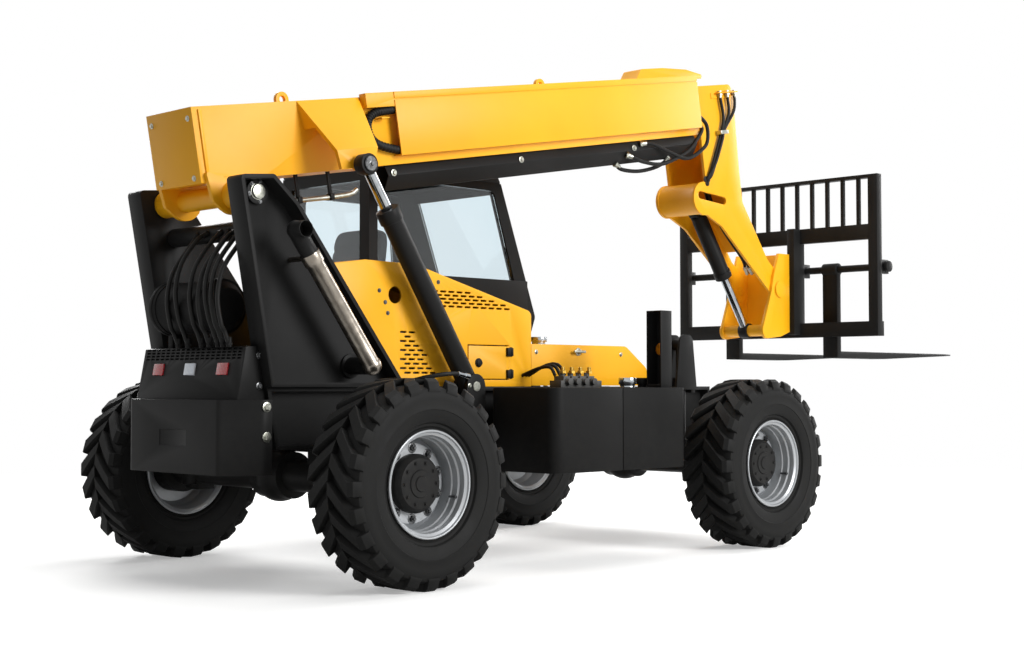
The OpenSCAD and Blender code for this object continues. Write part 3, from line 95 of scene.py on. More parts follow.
def makeCamera(look):
    data = bpy.data.cameras.new("camera")
    data.lens = look["lens"]
    data.sensor_width = look["sensor"]
    data.clip_end = look["farthest"]
    camera = bpy.data.objects.new("camera", data)
    yaw = math.radians(look["yaw"])
    pitch = math.radians(look["pitch"])
    ahead = Vector((math.sin(yaw) * math.cos(pitch), math.cos(yaw) * math.cos(pitch), math.sin(pitch)))
    camera.location = at(*look["place"])
    camera.rotation_mode = "QUATERNION"
    camera.rotation_quaternion = ahead.to_track_quat("-Z", "Y")
    scene.collection.objects.link(camera)
    scene.camera = camera


makeCamera(cameraLook)
print("camera set")


# Materials
def toLinear(hexColour):
    channels = [int(hexColour[i:i + 2], 16) / 255 for i in (1, 3, 5)]
    linear = [c / 12.92 if c <= 0.04045 else ((c + 0.055) / 1.055) ** 2.4 for c in channels]
    return (*linear, 1.0)


def addNode(tree, kind, settings=None, links=None):
    node = tree.nodes.new(kind)
    for key, value in (settings or {}).items():
        if key == "stops":
            while len(node.color_ramp.elements) < len(value):
                node.color_ramp.elements.new(0.5)
            for element, (place, colour) in zip(node.color_ramp.elements, value):
                element.position = place
                element.color = toLinear(colour)
        elif isinstance(key, str) and hasattr(node, key):
            setattr(node, key, value)
        else:
            node.inputs[key].default_value = value
    for key, source in (links or {}).items():
        tree.links.new(source, node.inputs[key])
    return node


def newMaterial(name, shaderSettings):
    material = bpy.data.materials.new(name)
    material.use_nodes = True
    shader = material.node_tree.nodes["Principled BSDF"]
    for key, value in shaderSettings.items():
        shader.inputs[key].default_value = value
    return material, material.node_tree, shader


def perMetre(sizeMm):
    return 1000 / sizeMm


# Sprayed two-pack enamel over steel plate: an even gloss with faint orange peel, a little cloudiness
# from coat to coat, and dry dust that has settled on the lowest stretch
yellowEnamel = {"stops": [(0.35, "#F0A90C"), (0.65, "#F5B114")], "dust": "#A08A62", "dustShare": 0.12,
                "rough": (0.40, 0.52), "cloudMm": 700, "peelMm": 9, "peelHeight": 0.10,
                "shader": {"Coat Weight": 0.08, "Coat Roughness": 0.3, "IOR": 1.35}}
blackEnamel = {"stops": [(0.35, "#1E1E1E"), (0.65, "#242424")], "dust": "#4C4841", "dustShare": 0.10,
               "rough": (0.34, 0.48), "cloudMm": 500, "peelMm": 6, "peelHeight": 0.14,
               "shader": {"IOR": 1.16}}
silverEnamel = {"stops": [(0.35, "#9B9EA1"), (0.65, "#A9ACAF")], "dust": "#7C7263", "dustShare": 0.15,
                "rough": (0.30, 0.44), "cloudMm": 200, "peelMm": 5, "peelHeight": 0.10,
                "shader": {"Metallic": 0.35, "Coat Weight": 0.1, "Coat Roughness": 0.15}}
# Painted castings: dark grey with the coarse skin of a sand mould
greyCasting = {"stops": [(0.3, "#3A3A39"), (0.7, "#4C4B49")], "dust": "#5F574B", "dustShare": 0.35,
               "rough": (0.5, 0.7), "cloudMm": 120, "peelMm": 4, "peelHeight": 0.5, "shader": {"IOR": 1.45}}
# Rotomoulded polyethylene: a dull skin with a fine pebble from the mould
blackPolyethylene = {"stops": [(0.3, "#141414"), (0.7, "#191919")], "dust": "#4C4841", "dustShare": 0.10,
                     "rough": (0.46, 0.62), "cloudMm": 260, "peelMm": 3, "peelHeight": 0.25,
                     "shader": {"IOR": 1.16}}
# Vinyl and textured ABS inside the cab: soft black with a leather grain
cabVinyl = {"stops": [(0.3, "#161616"), (0.7, "#1F1E1E")], "dust": "#4A463F", "dustShare": 0.1,
            "rough": (0.5, 0.66), "cloudMm": 150, "peelMm": 3, "peelHeight": 0.5, "shader": {"IOR": 1.47}}
# Extruded hose cover: even black rubber with a soft sheen along the bends
hoseRubber = {"stops": [(0.3, "#0F0F0F"), (0.7, "#161615")], "dust": "#4A463F", "dustShare": 0.05,
              "rough": (0.46, 0.6), "cloudMm": 80, "peelMm": 2, "peelHeight": 0.15, "shader": {"IOR": 1.28}}
# Coated seat cloth: charcoal with a close weave that breaks up the light
seatCloth = {"stops": [(0.3, "#1E1F21"), (0.7, "#2B2C2E")], "dust": "#4A463F", "dustShare": 0.05,
             "rough": (0.68, 0.85), "cloudMm": 60, "peelMm": 2, "peelHeight": 0.8, "shader": {"IOR": 1.4}}
# The dust on all of these thins out between two heights in m, and lies in specks
dustLook = {"heights": (0.25, 1.0), "leastShare": 0.02, "speckMm": 35, "speckRange": (0.4, 0.75)}
peelDepth = 0.5 * mm


def makeCoated(name, look):
    material, tree, shader = newMaterial(name, look["shader"])
    place = addNode(tree, "ShaderNodeTexCoord").outputs["Object"]
    cloud = addNode(tree, "ShaderNodeTexNoise", {"Scale": perMetre(look["cloudMm"]), "Detail": 4.0},
                    {"Vector": place})
    paint = addNode(tree, "ShaderNodeValToRGB", {"stops": look["stops"]}, {"Fac": cloud.outputs["Fac"]})
    height = addNode(tree, "ShaderNodeSeparateXYZ", {}, {"Vector": place})
    lowest, highest = dustLook["heights"]
    lowDown = addNode(tree, "ShaderNodeMapRange",
                      {"From Min": lowest, "From Max": highest, "To Min": look["dustShare"],
                       "To Max": dustLook["leastShare"]}, {"Value": height.outputs["Z"]})
    speck = addNode(tree, "ShaderNodeTexNoise",
                    {"Scale": perMetre(dustLook["speckMm"]), "Detail": 6.0, "Roughness": 0.7},
                    {"Vector": place})
    speckLow, speckHigh = dustLook["speckRange"]
    speckRange = addNode(tree, "ShaderNodeMapRange", {"From Min": speckLow, "From Max": speckHigh},
                         {"Value": speck.outputs["Fac"]})
    dustShare = addNode(tree, "ShaderNodeMath", {"operation": "MULTIPLY"},
                        {0: lowDown.outputs["Result"], 1: speckRange.outputs["Result"]})
    dusty = addNode(tree, "ShaderNodeMixRGB", {"Color2": toLinear(look["dust"])},
                    {"Fac": dustShare.outputs["Value"], "Color1": paint.outputs["Color"]})
    sheen = addNode(tree, "ShaderNodeMapRange", {"To Min": look["rough"][0], "To Max": look["rough"][1]},
                    {"Value": speck.outputs["Fac"]})
    peel = addNode(tree, "ShaderNodeTexNoise", {"Scale": perMetre(look["peelMm"]), "Detail": 2.0},
                   {"Vector": place})
    bump = addNode(tree, "ShaderNodeBump", {"Strength": look["peelHeight"], "Distance": peelDepth},
                   {"Height": peel.outputs["Fac"]})
    tree.links.new(dusty.outputs["Color"], shader.inputs["Base Color"])
    tree.links.new(sheen.outputs["Result"], shader.inputs["Roughness"])
    tree.links.new(bump.outputs["Normal"], shader.inputs["Normal"])
    return material


# Carbon-black tyre rubber from a mould: nearly black and dull, greyed by dust on its worn faces
tyreRubber = {"stops": [(0.35, "#0E0E0E"), (0.62, "#131312"), (0.85, "#1F1D1B")], "rough": (0.5, 0.8),
              "cloudMm": 90, "grainMm": 5, "grainHeight": 0.25, "grainDepthMm": 0.6, "shader": {"IOR": 1.25}}


def makeRubber(name, look):
    material, tree, shader = newMaterial(name, look["shader"])
    place = addNode(tree, "ShaderNodeTexCoord").outputs["Object"]
    cloud = addNode(tree, "ShaderNodeTexNoise",
                    {"Scale": perMetre(look["cloudMm"]), "Detail": 8.0, "Roughness": 0.65}, {"Vector": place})
    colour = addNode(tree, "ShaderNodeValToRGB", {"stops": look["stops"]}, {"Fac": cloud.outputs["Fac"]})
    sheen = addNode(tree, "ShaderNodeMapRange", {"To Min": look["rough"][0], "To Max": look["rough"][1]},
                    {"Value": cloud.outputs["Fac"]})
    grain = addNode(tree, "ShaderNodeTexNoise", {"Scale": perMetre(look["grainMm"]), "Detail": 4.0},
                    {"Vector": place})
    bump = addNode(tree, "ShaderNodeBump",
                   {"Strength": look["grainHeight"], "Distance": look["grainDepthMm"] * mm},
                   {"Height": grain.outputs["Fac"]})
    tree.links.new(colour.outputs["Color"], shader.inputs["Base Color"])
    tree.links.new(sheen.outputs["Result"], shader.inputs["Roughness"])
    tree.links.new(bump.outputs["Normal"], shader.inputs["Normal"])
    return material


# Plated and bare metals: bright, with streaks left by turning, polishing or handling
hardChrome = {"stops": [(0.3, "#9FA4A8"), (0.7, "#BEC2C5")], "rough": (0.08, 0.18), "streakMm": 40}
zincPlate = {"stops": [(0.3, "#96988F"), (0.7, "#B9B9AE")], "rough": (0.25, 0.42), "streakMm": 14}
exhaustSteel = {"stops": [(0.3, "#7B746B"), (0.7, "#A39B90")], "rough": (0.24, 0.36), "streakMm": 60}
nutSteel = {"stops": [(0.3, "#4A4B4C"), (0.7, "#6E6F70")], "rough": (0.22, 0.4), "streakMm": 10}
brassPlate = {"stops": [(0.3, "#9A7A34"), (0.7, "#B9984C")], "rough": (0.25, 0.4), "streakMm": 12}


def makeMetal(name, look):
    material, tree, shader = newMaterial(name, {"Metallic": 1.0})
    place = addNode(tree, "ShaderNodeTexCoord").outputs["Object"]
    streak = addNode(tree, "ShaderNodeTexNoise",
                     {"Scale": perMetre(look["streakMm"]), "Detail": 6.0, "Distortion": 0.6},
                     {"Vector": place})
    colour = addNode(tree, "ShaderNodeValToRGB", {"stops": look["stops"]}, {"Fac": streak.outputs["Fac"]})
    sheen = addNode(tree, "ShaderNodeMapRange", {"To Min": look["rough"][0], "To Max": look["rough"][1]},
                    {"Value": streak.outputs["Fac"]})
    tree.links.new(colour.outputs["Color"], shader.inputs["Base Color"])
    tree.links.new(sheen.outputs["Result"], shader.inputs["Roughness"])
    return material


# Tinted toughened glass: clear and smooth, with a cool blue-grey cast that deepens a little in bands
tintedGlass = {"stops": [(0.3, "#E9F3F7"), (0.7, "#F1F8FB")], "bandMm": 900,
               "shader": {"Roughness": 0.0, "IOR": 1.45, "Transmission Weight": 1.0}}


def makeGlass(name, look):
    material, tree, shader = newMaterial(name, look["shader"])
    place = addNode(tree, "ShaderNodeTexCoord").outputs["Object"]
    band = addNode(tree, "ShaderNodeTexNoise", {"Scale": perMetre(look["bandMm"])}, {"Vector": place})
    tint = addNode(tree, "ShaderNodeValToRGB", {"stops": look["stops"]}, {"Fac": band.outputs["Fac"]})
    tree.links.new(tint.outputs["Color"], shader.inputs["Base Color"])
    return material


# Moulded acrylic lens: deep colour, a smooth skin and a row of fine prisms inside it
acrylic = {"prismMm": 40, "prismHeight": 0.4, "prismDepthMm": 1,
           "shader": {"Roughness": 0.12, "IOR": 1.49, "Coat Weight": 0.6}}


def makeLens(name, stops, look):
    material, tree, shader = newMaterial(name, look["shader"])
    place = addNode(tree, "ShaderNodeTexCoord").outputs["Object"]
    prism = addNode(tree, "ShaderNodeTexWave", {"Scale": perMetre(look["prismMm"]), "bands_direction": "Y"},
                    {"Vector": place})
    colour = addNode(tree, "ShaderNodeValToRGB", {"stops": stops}, {"Fac": prism.outputs["Fac"]})
    bump = addNode(tree, "ShaderNodeBump",
                   {"Strength": look["prismHeight"], "Distance": look["prismDepthMm"] * mm},
                   {"Height": prism.outputs["Fac"]})
    tree.links.new(colour.outputs["Color"], shader.inputs["Base Color"])
    tree.links.new(bump.outputs["Normal"], shader.inputs["Normal"])
    return material


yellowPaint = makeCoated("yellowEnamel", yellowEnamel)
blackPaint = makeCoated("blackEnamel", blackEnamel)
rimPaint = makeCoated("silverEnamel", silverEnamel)
castMetal = makeCoated("greyCasting", greyCasting)
tankPlastic = makeCoated("blackPolyethylene", blackPolyethylene)
cabTrim = makeCoated("cabVinyl", cabVinyl)
hose = makeCoated("hoseRubber", hoseRubber)
cloth = makeCoated("seatCloth", seatCloth)
rubber = makeRubber("tyreRubber", tyreRubber)
chrome = makeMetal("hardChrome", hardChrome)
zinc = makeMetal("zincPlate", zincPlate)
stackSteel = makeMetal("exhaustSteel", exhaustSteel)
darkSteel = makeMetal("nutSteel", nutSteel)
brass = makeMetal("brassPlate", brassPlate)
glass = makeGlass("tintedGlass", tintedGlass)
redLens = makeLens("redLens", [(0.2, "#A3141A"), (0.8, "#D22B33")], acrylic)
whiteLens = makeLens("clearLens", [(0.2, "#CFDAEA"), (0.8, "#F2F6FC")], acrylic)
amberLens = makeLens("amberLens", [(0.2, "#C96A08"), (0.8, "#F09A1E")], acrylic)
print("materials made")


# Shared ways of making a piece
def newPiece(name, mesh, materials, body):
    mesh.name = name
    piece = bpy.data.objects.new(name, mesh)
    scene.collection.objects.link(piece)
    for material in materials:
        mesh.materials.append(material)
    if body:  # a piece that runs between two bodies rides on neither
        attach(piece, body)
    return piece


def smoothMesh(work, sharpDeg=32):
    mesh = bpy.data.meshes.new("work")
    bmesh.ops.recalc_face_normals(work, faces=work.faces)
    work.to_mesh(mesh)
    work.free()
    for face in mesh.polygons:
        face.use_smooth = True
    mesh.set_sharp_from_angle(angle=math.radians(sharpDeg))
    return mesh


# A frame node with the rounded edges that folded and welded plate has, in place of the bare solid
softening = {"weldMm": 0.02, "flatDeg": 0.4, "sharpDeg": 35}


def softened(node, name, widthMm, materials, pick=None):
    source = nodes[node]
    plain = bpy.data.meshes.new("plain")
    spots = [v.co[:] for v in source.data.vertices]
    plain.from_pydata(spots, [], [tuple(p.vertices) for p in source.data.polygons])
    work = bmesh.new()
    work.from_mesh(plain)
    bpy.data.meshes.remove(plain)
    bmesh.ops.remove_doubles(work, verts=work.verts, dist=softening["weldMm"] * mm)
    bmesh.ops.dissolve_limit(work, angle_limit=math.radians(softening["flatDeg"]), verts=work.verts,
                             edges=work.edges)
    sharp = math.radians(softening["sharpDeg"])
    edges = [e for e in work.edges if len(e.link_faces) == 2 and e.calc_face_angle(0) > sharp]
    bmesh.ops.bevel(work, geom=edges, offset=widthMm * mm, segments=2, profile=0.5, affect="EDGES",
                    clamp_overlap=True)
    if pick:
        for face in work.faces:
            face.material_index = pick(face.calc_center_median())
    piece = newPiece(name, smoothMesh(work), materials, source["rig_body"])
    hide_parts(node)


# The boom's own lengths: s along it from the pivot, n square to it
boomFrame = {"pivot": (-480, 1960), "angle": 10.0}


def onBoom(s, y, n):
    angle = math.radians(boomFrame["angle"])
    return at(boomFrame["pivot"][0] + s * math.cos(angle) - n * math.sin(angle), y,
              boomFrame["pivot"][1] + s * math.sin(angle) + n * math.cos(angle))


# Where one solid changes its paint: limits in mm from the rear axle, the middle and the ground
paintLimits = {"hoodSide": -388.5, "lidTop": 1240, "lidCap": 1700, "tankTop": 982, "tankCap": 1920,
               "stackTop": 1650, "stubSide": -570, "stubTop": 1300, "lampAhead": 1000, "lampMiddle": 100}
# The rods' eyes: the lift rods' in the boom's lengths, the tilt rod's in the machine's
rodEyes = {"lift": (671, 80), "liftRadius": 85, "tilt": (4189.5, 1390), "tiltRadius": 75}
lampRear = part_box("lamps")[0].x


def hoodPaint(p):
    return int(p.y < paintLimits["hoodSide"] * mm)


def lidPaint(p):
    if p.z < paintLimits["lidTop"] * mm:
        return 0
    return 1 if p.x > at(paintLimits["lidCap"], 0, 0).x else 2


def tankPaint(p):
    return int(p.z > paintLimits["tankTop"] * mm and p.x < at(paintLimits["tankCap"], 0, 0).x)


def stackPaint(p):
    onStub = p.y > paintLimits["stubSide"] * mm and p.z < paintLimits["stubTop"] * mm
    return int(p.z > paintLimits["stackTop"] * mm or onStub)


def lensColour(p):
    if p.x > lampRear + paintLimits["lampAhead"] * mm:
        return 2
    return int(abs(p.y) < paintLimits["lampMiddle"] * mm)


# 1 for the faces within a radius of a line across the machine, 0 for the others
def nearAxis(centre, radiusMm):
    return lambda p: int(math.hypot(p.x - centre.x, p.z - centre.z) < radiusMm * mm)


# Each node's piece and the width of its rounded edges in mm
platework = {"boom_outer": ("boomShell", 5), "boom_mid": ("boomMidSection", 4),
             "boom_inner": ("boomInnerSection", 4), "boom_cover": ("hoseCover", 4), "neck": ("gooseNeck", 4),
             "coupler": ("couplerPlates", 4)}
hoodwork = {"hood": ("engineHood", 4), "service_door": ("serviceDoor", 3)}
steelwork = {"frame_left": ("frameLeft", 4), "frame_right": ("frameRight", 4),
             "cross_members": ("crossMembers", 4), "counterweight": ("counterweightCasting", 8),
             "tail_panel": ("tailPanel", 2), "axles": ("axleHousings", 5), "light_guard": ("lampGuard", 2),
             "hose_tray": ("hoseTray", 6), "levelling_cylinder": ("levelCylinder", 3),
             "cab_shell": ("cabShell", 6), "cab_roof": ("cabRoof", 8), "cab_door": ("cabDoor", 5),
             "lift_barrels": ("liftBarrels", 3), "tilt_barrel": ("tiltBarrel", 3),
             "carriage": ("forkCarriage", 4), "fork_left": ("forkLeft", 4), "fork_right": ("forkRight", 4)}
for node, (name, width) in platework.items():
    softened(node, name, width, [yellowPaint])
for node, (name, width) in hoodwork.items():
    softened(node, name, width, [yellowPaint, blackPaint], hoodPaint)
softened("front_lid", "frontLid", 4, [yellowPaint, chrome, blackPaint], lidPaint)
for node, (name, width) in steelwork.items():
    softened(node, name, width, [blackPaint])
for corner in wheelCorners:
    softened("knuckle_" + corner, "knuckle." + corner, 3, [blackPaint])
softened("tank", "tankMoulding", 12, [tankPlastic, chrome], tankPaint)
softened("cab_base", "cabBase", 12, [tankPlastic])
softened("engine", "engineBlock", 8, [castMetal])
softened("air_cleaner", "airCleaner", 5, [tankPlastic])
softened("exhaust", "exhaustStack", 1, [stackSteel, blackPaint], stackPaint)
liftEye = onBoom(rodEyes["lift"][0], 0, rodEyes["lift"][1])
softened("lift_rods", "liftRods", 2, [chrome, blackPaint], nearAxis(liftEye, rodEyes["liftRadius"]))
tiltEye = at(rodEyes["tilt"][0], 0, rodEyes["tilt"][1])
softened("tilt_rod", "tiltRod", 2, [chrome, blackPaint], nearAxis(tiltEye, rodEyes["tiltRadius"]))
softened("boom_pin", "boomPin", 2, [zinc])
softened("steering_wheel", "steeringWheel", 2, [cabTrim])
softened("valve_block", "valveBlock", 2, [castMetal])
softened("lamps", "lampLenses", 4, [redLens, whiteLens, amberLens], lensColour)
for node in ("cab_glass", "door_glass"):
    nodes[node].data.materials.clear()
    nodes[node].data.materials.append(glass)
print("plate and castings softened")


# Shared ways of making hoses and small fittings
def smoothPath(points, steps=8):
    ends = [2 * points[0] - points[1]] + points + [2 * points[-1] - points[-2]]
    path = []
    for a, b, c, d in zip(ends, ends[1:], ends[2:], ends[3:]):
        for t in (k / steps for k in range(steps)):
            path.append(0.5 * (2 * b + (c - a) * t + (2 * a - 5 * b + 4 * c - d) * t ** 2
                               + (3 * b - a - 3 * c + d) * t ** 3))
    return path + [points[-1]]


def newRing(work, place, ahead, side, radiusMm, sides):
    other = ahead.cross(side)
    turns = [2 * math.pi * i / sides for i in range(sides)]
    spots = [place + radiusMm * mm * (side * math.cos(t) + other * math.sin(t)) for t in turns]
    return [work.verts.new(spot) for spot in spots]


# A skin over a row of rings, closed at both ends
def addSkin(work, rings, paint):
    faces = []
    for a, b in zip(rings, rings[1:]):
        faces += [work.faces.new((a[i - 1], a[i], b[i], b[i - 1])) for i in range(len(a))]
    faces += [work.faces.new(rings[0]), work.faces.new(rings[-1])]
    for face in faces:
        face.material_index = paint


# The radii repeat along the path, which gives a corrugated hose its ribs
def addTube(work, path, radiiMm, sides=12):
    side = (path[1] - path[0]).orthogonal()
    rings = []
    for k, place in enumerate(path):
        ahead = (path[min(k + 1, len(path) - 1)] - path[max(k - 1, 0)]).normalized()
        side = (side - ahead * side.dot(ahead)).normalized()
        rings.append(newRing(work, place, ahead, side, radiiMm[k % len(radiiMm)], sides))
    addSkin(work, rings, 0)


# A turned shape: rings of (radius, height) in mm along a line from its foot
def addTurned(work, place, outward, profile, sides=24, paint=0):
    ahead = outward.normalized()
    side = ahead.orthogonal().normalized()
    rings = []
    for radius, height in profile:
        rings.append(newRing(work, place + ahead * height * mm, ahead, side, radius, sides))
    addSkin(work, rings, paint)


# A washer with a hexagon head on it, in proportion to the head
def addBolt(work, place, outward, radiusMm, paint=0):
    washer = [(1.5 * radiusMm, -1), (1.5 * radiusMm, 2.5), (1.4 * radiusMm, 3)]
    head = [(radiusMm, 2), (radiusMm, 0.55 * radiusMm + 3), (0.86 * radiusMm, 0.7 * radiusMm + 3)]
    addTurned(work, place, outward, washer, 24, paint)
    addTurned(work, place, outward, head, 6, paint)


# The pressed end of a hose with its hexagon nut
def addHoseEnd(work, tip, ahead, look):
    addTurned(work, tip, ahead, look["ferrule"])
    addTurned(work, tip, ahead, look["nut"], 6)


def addBlock(work, low, high, place, roundMm=2):
    corners = [(x, y, z) for x in (low[0], high[0]) for y in (low[1], high[1]) for z in (low[2], high[2])]
    v = [work.verts.new(place(*c)) for c in corners]
    faces = [work.faces.new([v[i] for i in loop]) for loop in
             ((0, 1, 3, 2), (4, 6, 7, 5), (0, 4, 5, 1), (2, 3, 7, 6), (0, 2, 6, 4), (1, 5, 7, 3))]
    bmesh.ops.bevel(work, geom=list({e for f in faces for e in f.edges}), offset=roundMm * mm, segments=2,
                    profile=0.5, affect="EDGES", clamp_overlap=True)


# Wheels: silver rims with black planetary hubs, and industrial lug tyres. Outlines as (radius, outward) in mm
rimLook = {
    "barrel": [(258, 139), (264, 143), (264, 153), (260, 155), (255, 154), (251, 145), (238, 137), (236, 128),
               (236, 106), (229, 98), (229, 62), (224, 56), (224, -96), (236, -128), (238, -138), (251, -146),
               (256, -155), (264, -152), (264, -143), (258, -139), (247.5, -138), (247.5, 138)],
    "disc": [(120, 15), (196, 15), (226, -12), (226, -34), (196, -2), (120, -2)],
    "hub": [(137, -115), (137, 12), (145, 14), (145, 50), (141, 58), (124, 79), (121, 80), (70, 80), (66, 86),
            (40, 86), (36, 92), (14, 92)],
    "nuts": 10, "nutPitch": 173, "nutRadius": 17, "discFace": 15, "stud": [(9, 0), (9, 24), (7, 26)],
    "capBolts": 10, "capPitch": 104, "capFace": 80, "capBoltRadius": 7,
    "valve": (224, 70), "valveTurn": 1.9, "stem": [(6, -14), (6, 20), (8, 20), (8, 34), (6, 36)],
    "steps": 96, "hubSides": 64, "stemSides": 12, "sharpDeg": 30}
# The tyre in mm. A lug's shoulder: in from the side, then the depth of its top and its foot below the crown.
# The wall from bead to crown: up from the bead, as a share of the radius or down from the crown, and outward
tyreLook = {
    "lugs": 24, "sweepDeg": 15, "outerHalf": 37, "innerHalf": 33, "draft": 8, "chamfer": 4, "past": 2,
    "shoulder": [(4.5, 51.5, 65.92), (10, 36.05, 64.375), (16, 17, 61.8)], "lugStart": 40, "lugTop": 0.3,
    "lugFoot": 40, "steps": 6, "beadIn": 15.5, "beadHalfIn": 16,
    "bead": [(0, -1), (24, 0), (34, 9), (46, 11)], "lowWall": [(52, -22), (66, -14)],
    "wall": [(0.70, -7), (0.705, -4), (0.72, -4), (0.725, -5), (0.80, -3), (0.86, -5), (0.90, -14)],
    "crown": [(42, -34), (34, -70)], "rings": 192, "sharpDeg": 28}


def onWheel(radius, across, angle):
    return Vector((radius * math.sin(angle), across, radius * math.cos(angle))) * mm


def addRevolved(work, outline, steps):
    rings = []
    for k in range(steps):
        angle = 2 * math.pi * k / steps
        rings.append([work.verts.new(onWheel(r, y, angle)) for r, y in outline])
    for first, second in zip(rings, rings[1:] + rings[:1]):
        for i in range(len(outline)):
            work.faces.new((first[i - 1], first[i], second[i], second[i - 1]))


# A rim with its lip and steps, a dished disc with nuts, and the planetary hub with its cover
def rimMesh(look, outer):
    work = bmesh.new()
    outward = Vector((0, outer, 0))
    addRevolved(work, [(r, outer * y) for r, y in look["barrel"]], look["steps"])
    addRevolved(work, [(r, outer * y) for r, y in look["disc"]], look["steps"])
    addTurned(work, Vector((0, 0, 0)), outward, look["hub"], look["hubSides"], 1)
    for k in range(look["nuts"]):
        spot = onWheel(look["nutPitch"], outer * look["discFace"], 2 * math.pi * k / look["nuts"])
        addBolt(work, spot, outward, look["nutRadius"], 2)
        addTurned(work, spot, outward, look["stud"], look["stemSides"], 2)
    for k in range(look["capBolts"]):
        spot = onWheel(look["capPitch"], outer * look["capFace"], 2 * math.pi * (k + 0.5) / look["capBolts"])
        addBolt(work, spot, outward, look["capBoltRadius"], 1)
    radius, across = look["valve"]
    spot = onWheel(radius, outer * across, look["valveTurn"])
    addTurned(work, spot, outward, look["stem"], look["stemSides"], 2)
    return smoothMesh(work, look["sharpDeg"])


def addLug(work, look, radius, half, side, turn):
    pitch = 2 * math.pi / look["lugs"]
    sweep = math.radians(look["sweepDeg"])
    stations = [(half - inset, radius - top, radius - foot, 0.0) for inset, top, foot in look["shoulder"]]
    for k in range(look["steps"] + 1):
        share = k / look["steps"]
        across = (half - look["lugStart"]) * (1 - share) - look["past"] * share
        stations.append((across, radius - look["lugTop"], radius - look["lugFoot"], share))
    rows = []
    for across, top, foot, share in stations:
        width = look["outerHalf"] + (look["innerHalf"] - look["outerHalf"]) * share
        angle = turn * pitch + sweep * share
        chamfer = look["chamfer"]
        section = [(foot, width + look["draft"]), (top - chamfer, width), (top, width - chamfer)]
        points = [(r, -w) for r, w in section] + [(r, w) for r, w in reversed(section)]
        rows.append([work.verts.new(onWheel(r, side * across, angle + w / radius)) for r, w in points])
    for first, second in zip(rows, rows[1:]):
        for i in range(len(first)):
            j = (i + 1) % len(first)
            work.faces.new((first[i], first[j], second[j], second[i]))
    work.faces.new(rows[0])
    work.faces.new(list(reversed(rows[-1])))


def tyreMesh(look, radius, half, bead, beadHalf, outer):
    work = bmesh.new()
    side = [(bead + up, beadHalf + out) for up, out in look["bead"]]
    side += [(bead + up, half + out) for up, out in look["lowWall"]]
    side += [(share * radius, half + out) for share, out in look["wall"]]
    side += [(radius - down, half + out) for down, out in look["crown"]]
    side.append((radius - look["crown"][-1][0], 0))
    addRevolved(work, side + [(r, -y) for r, y in reversed(side[:-1])], look["rings"])
    for turn in range(look["lugs"]):
        addLug(work, look, radius, half, outer, turn)
        addLug(work, look, radius, half, -outer, turn - 0.5)
    return smoothMesh(work, look["sharpDeg"])


def sizeMm(node):
    low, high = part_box(node)
    return (high - low) / mm


tyreSize = sizeMm("tyre_rear_left")
rimSize = sizeMm("rim_rear_left")
for corner in wheelCorners:
    centre = middle("tyre_" + corner)
    outer = math.copysign(1, centre.y)
    shape = tyreMesh(tyreLook, tyreSize.z / 2, tyreSize.y / 2, rimSize.z / 2 - tyreLook["beadIn"],
                     rimSize.y / 2 - tyreLook["beadHalfIn"], outer)
    tyre = newPiece("lugTyre." + corner, shape, [rubber], corner + "_wheel")
    tyre.matrix_world = Matrix.Translation(centre)
    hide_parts("tyre_" + corner)
    shape = rimMesh(rimLook, outer)
    paints = [rimPaint, blackPaint, darkSteel]
    rim = newPiece("wheelRim." + corner, shape, paints, corner + "_wheel")
    rim.matrix_world = Matrix.Translation(centre)
    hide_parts("rim_" + corner)
print("wheels made")

rightward = Vector((0, -1, 0))
upward = Vector((0, 0, 1))
boomUp = onBoom(0, 0, 1000) - onBoom(0, 0, 0)
boomRearward = onBoom(0, 0, 0) - onBoom(1000, 0, 0)
hoseSharp = 40  # degrees: no edge on a hose is sharp but its cut ends


# A hose or pipe through points in the boom's lengths or in the machine's
def addLine(work, points, place, radiusMm, sides=12):
    addTube(work, smoothPath([place(*p) for p in points]), [radiusMm], sides)


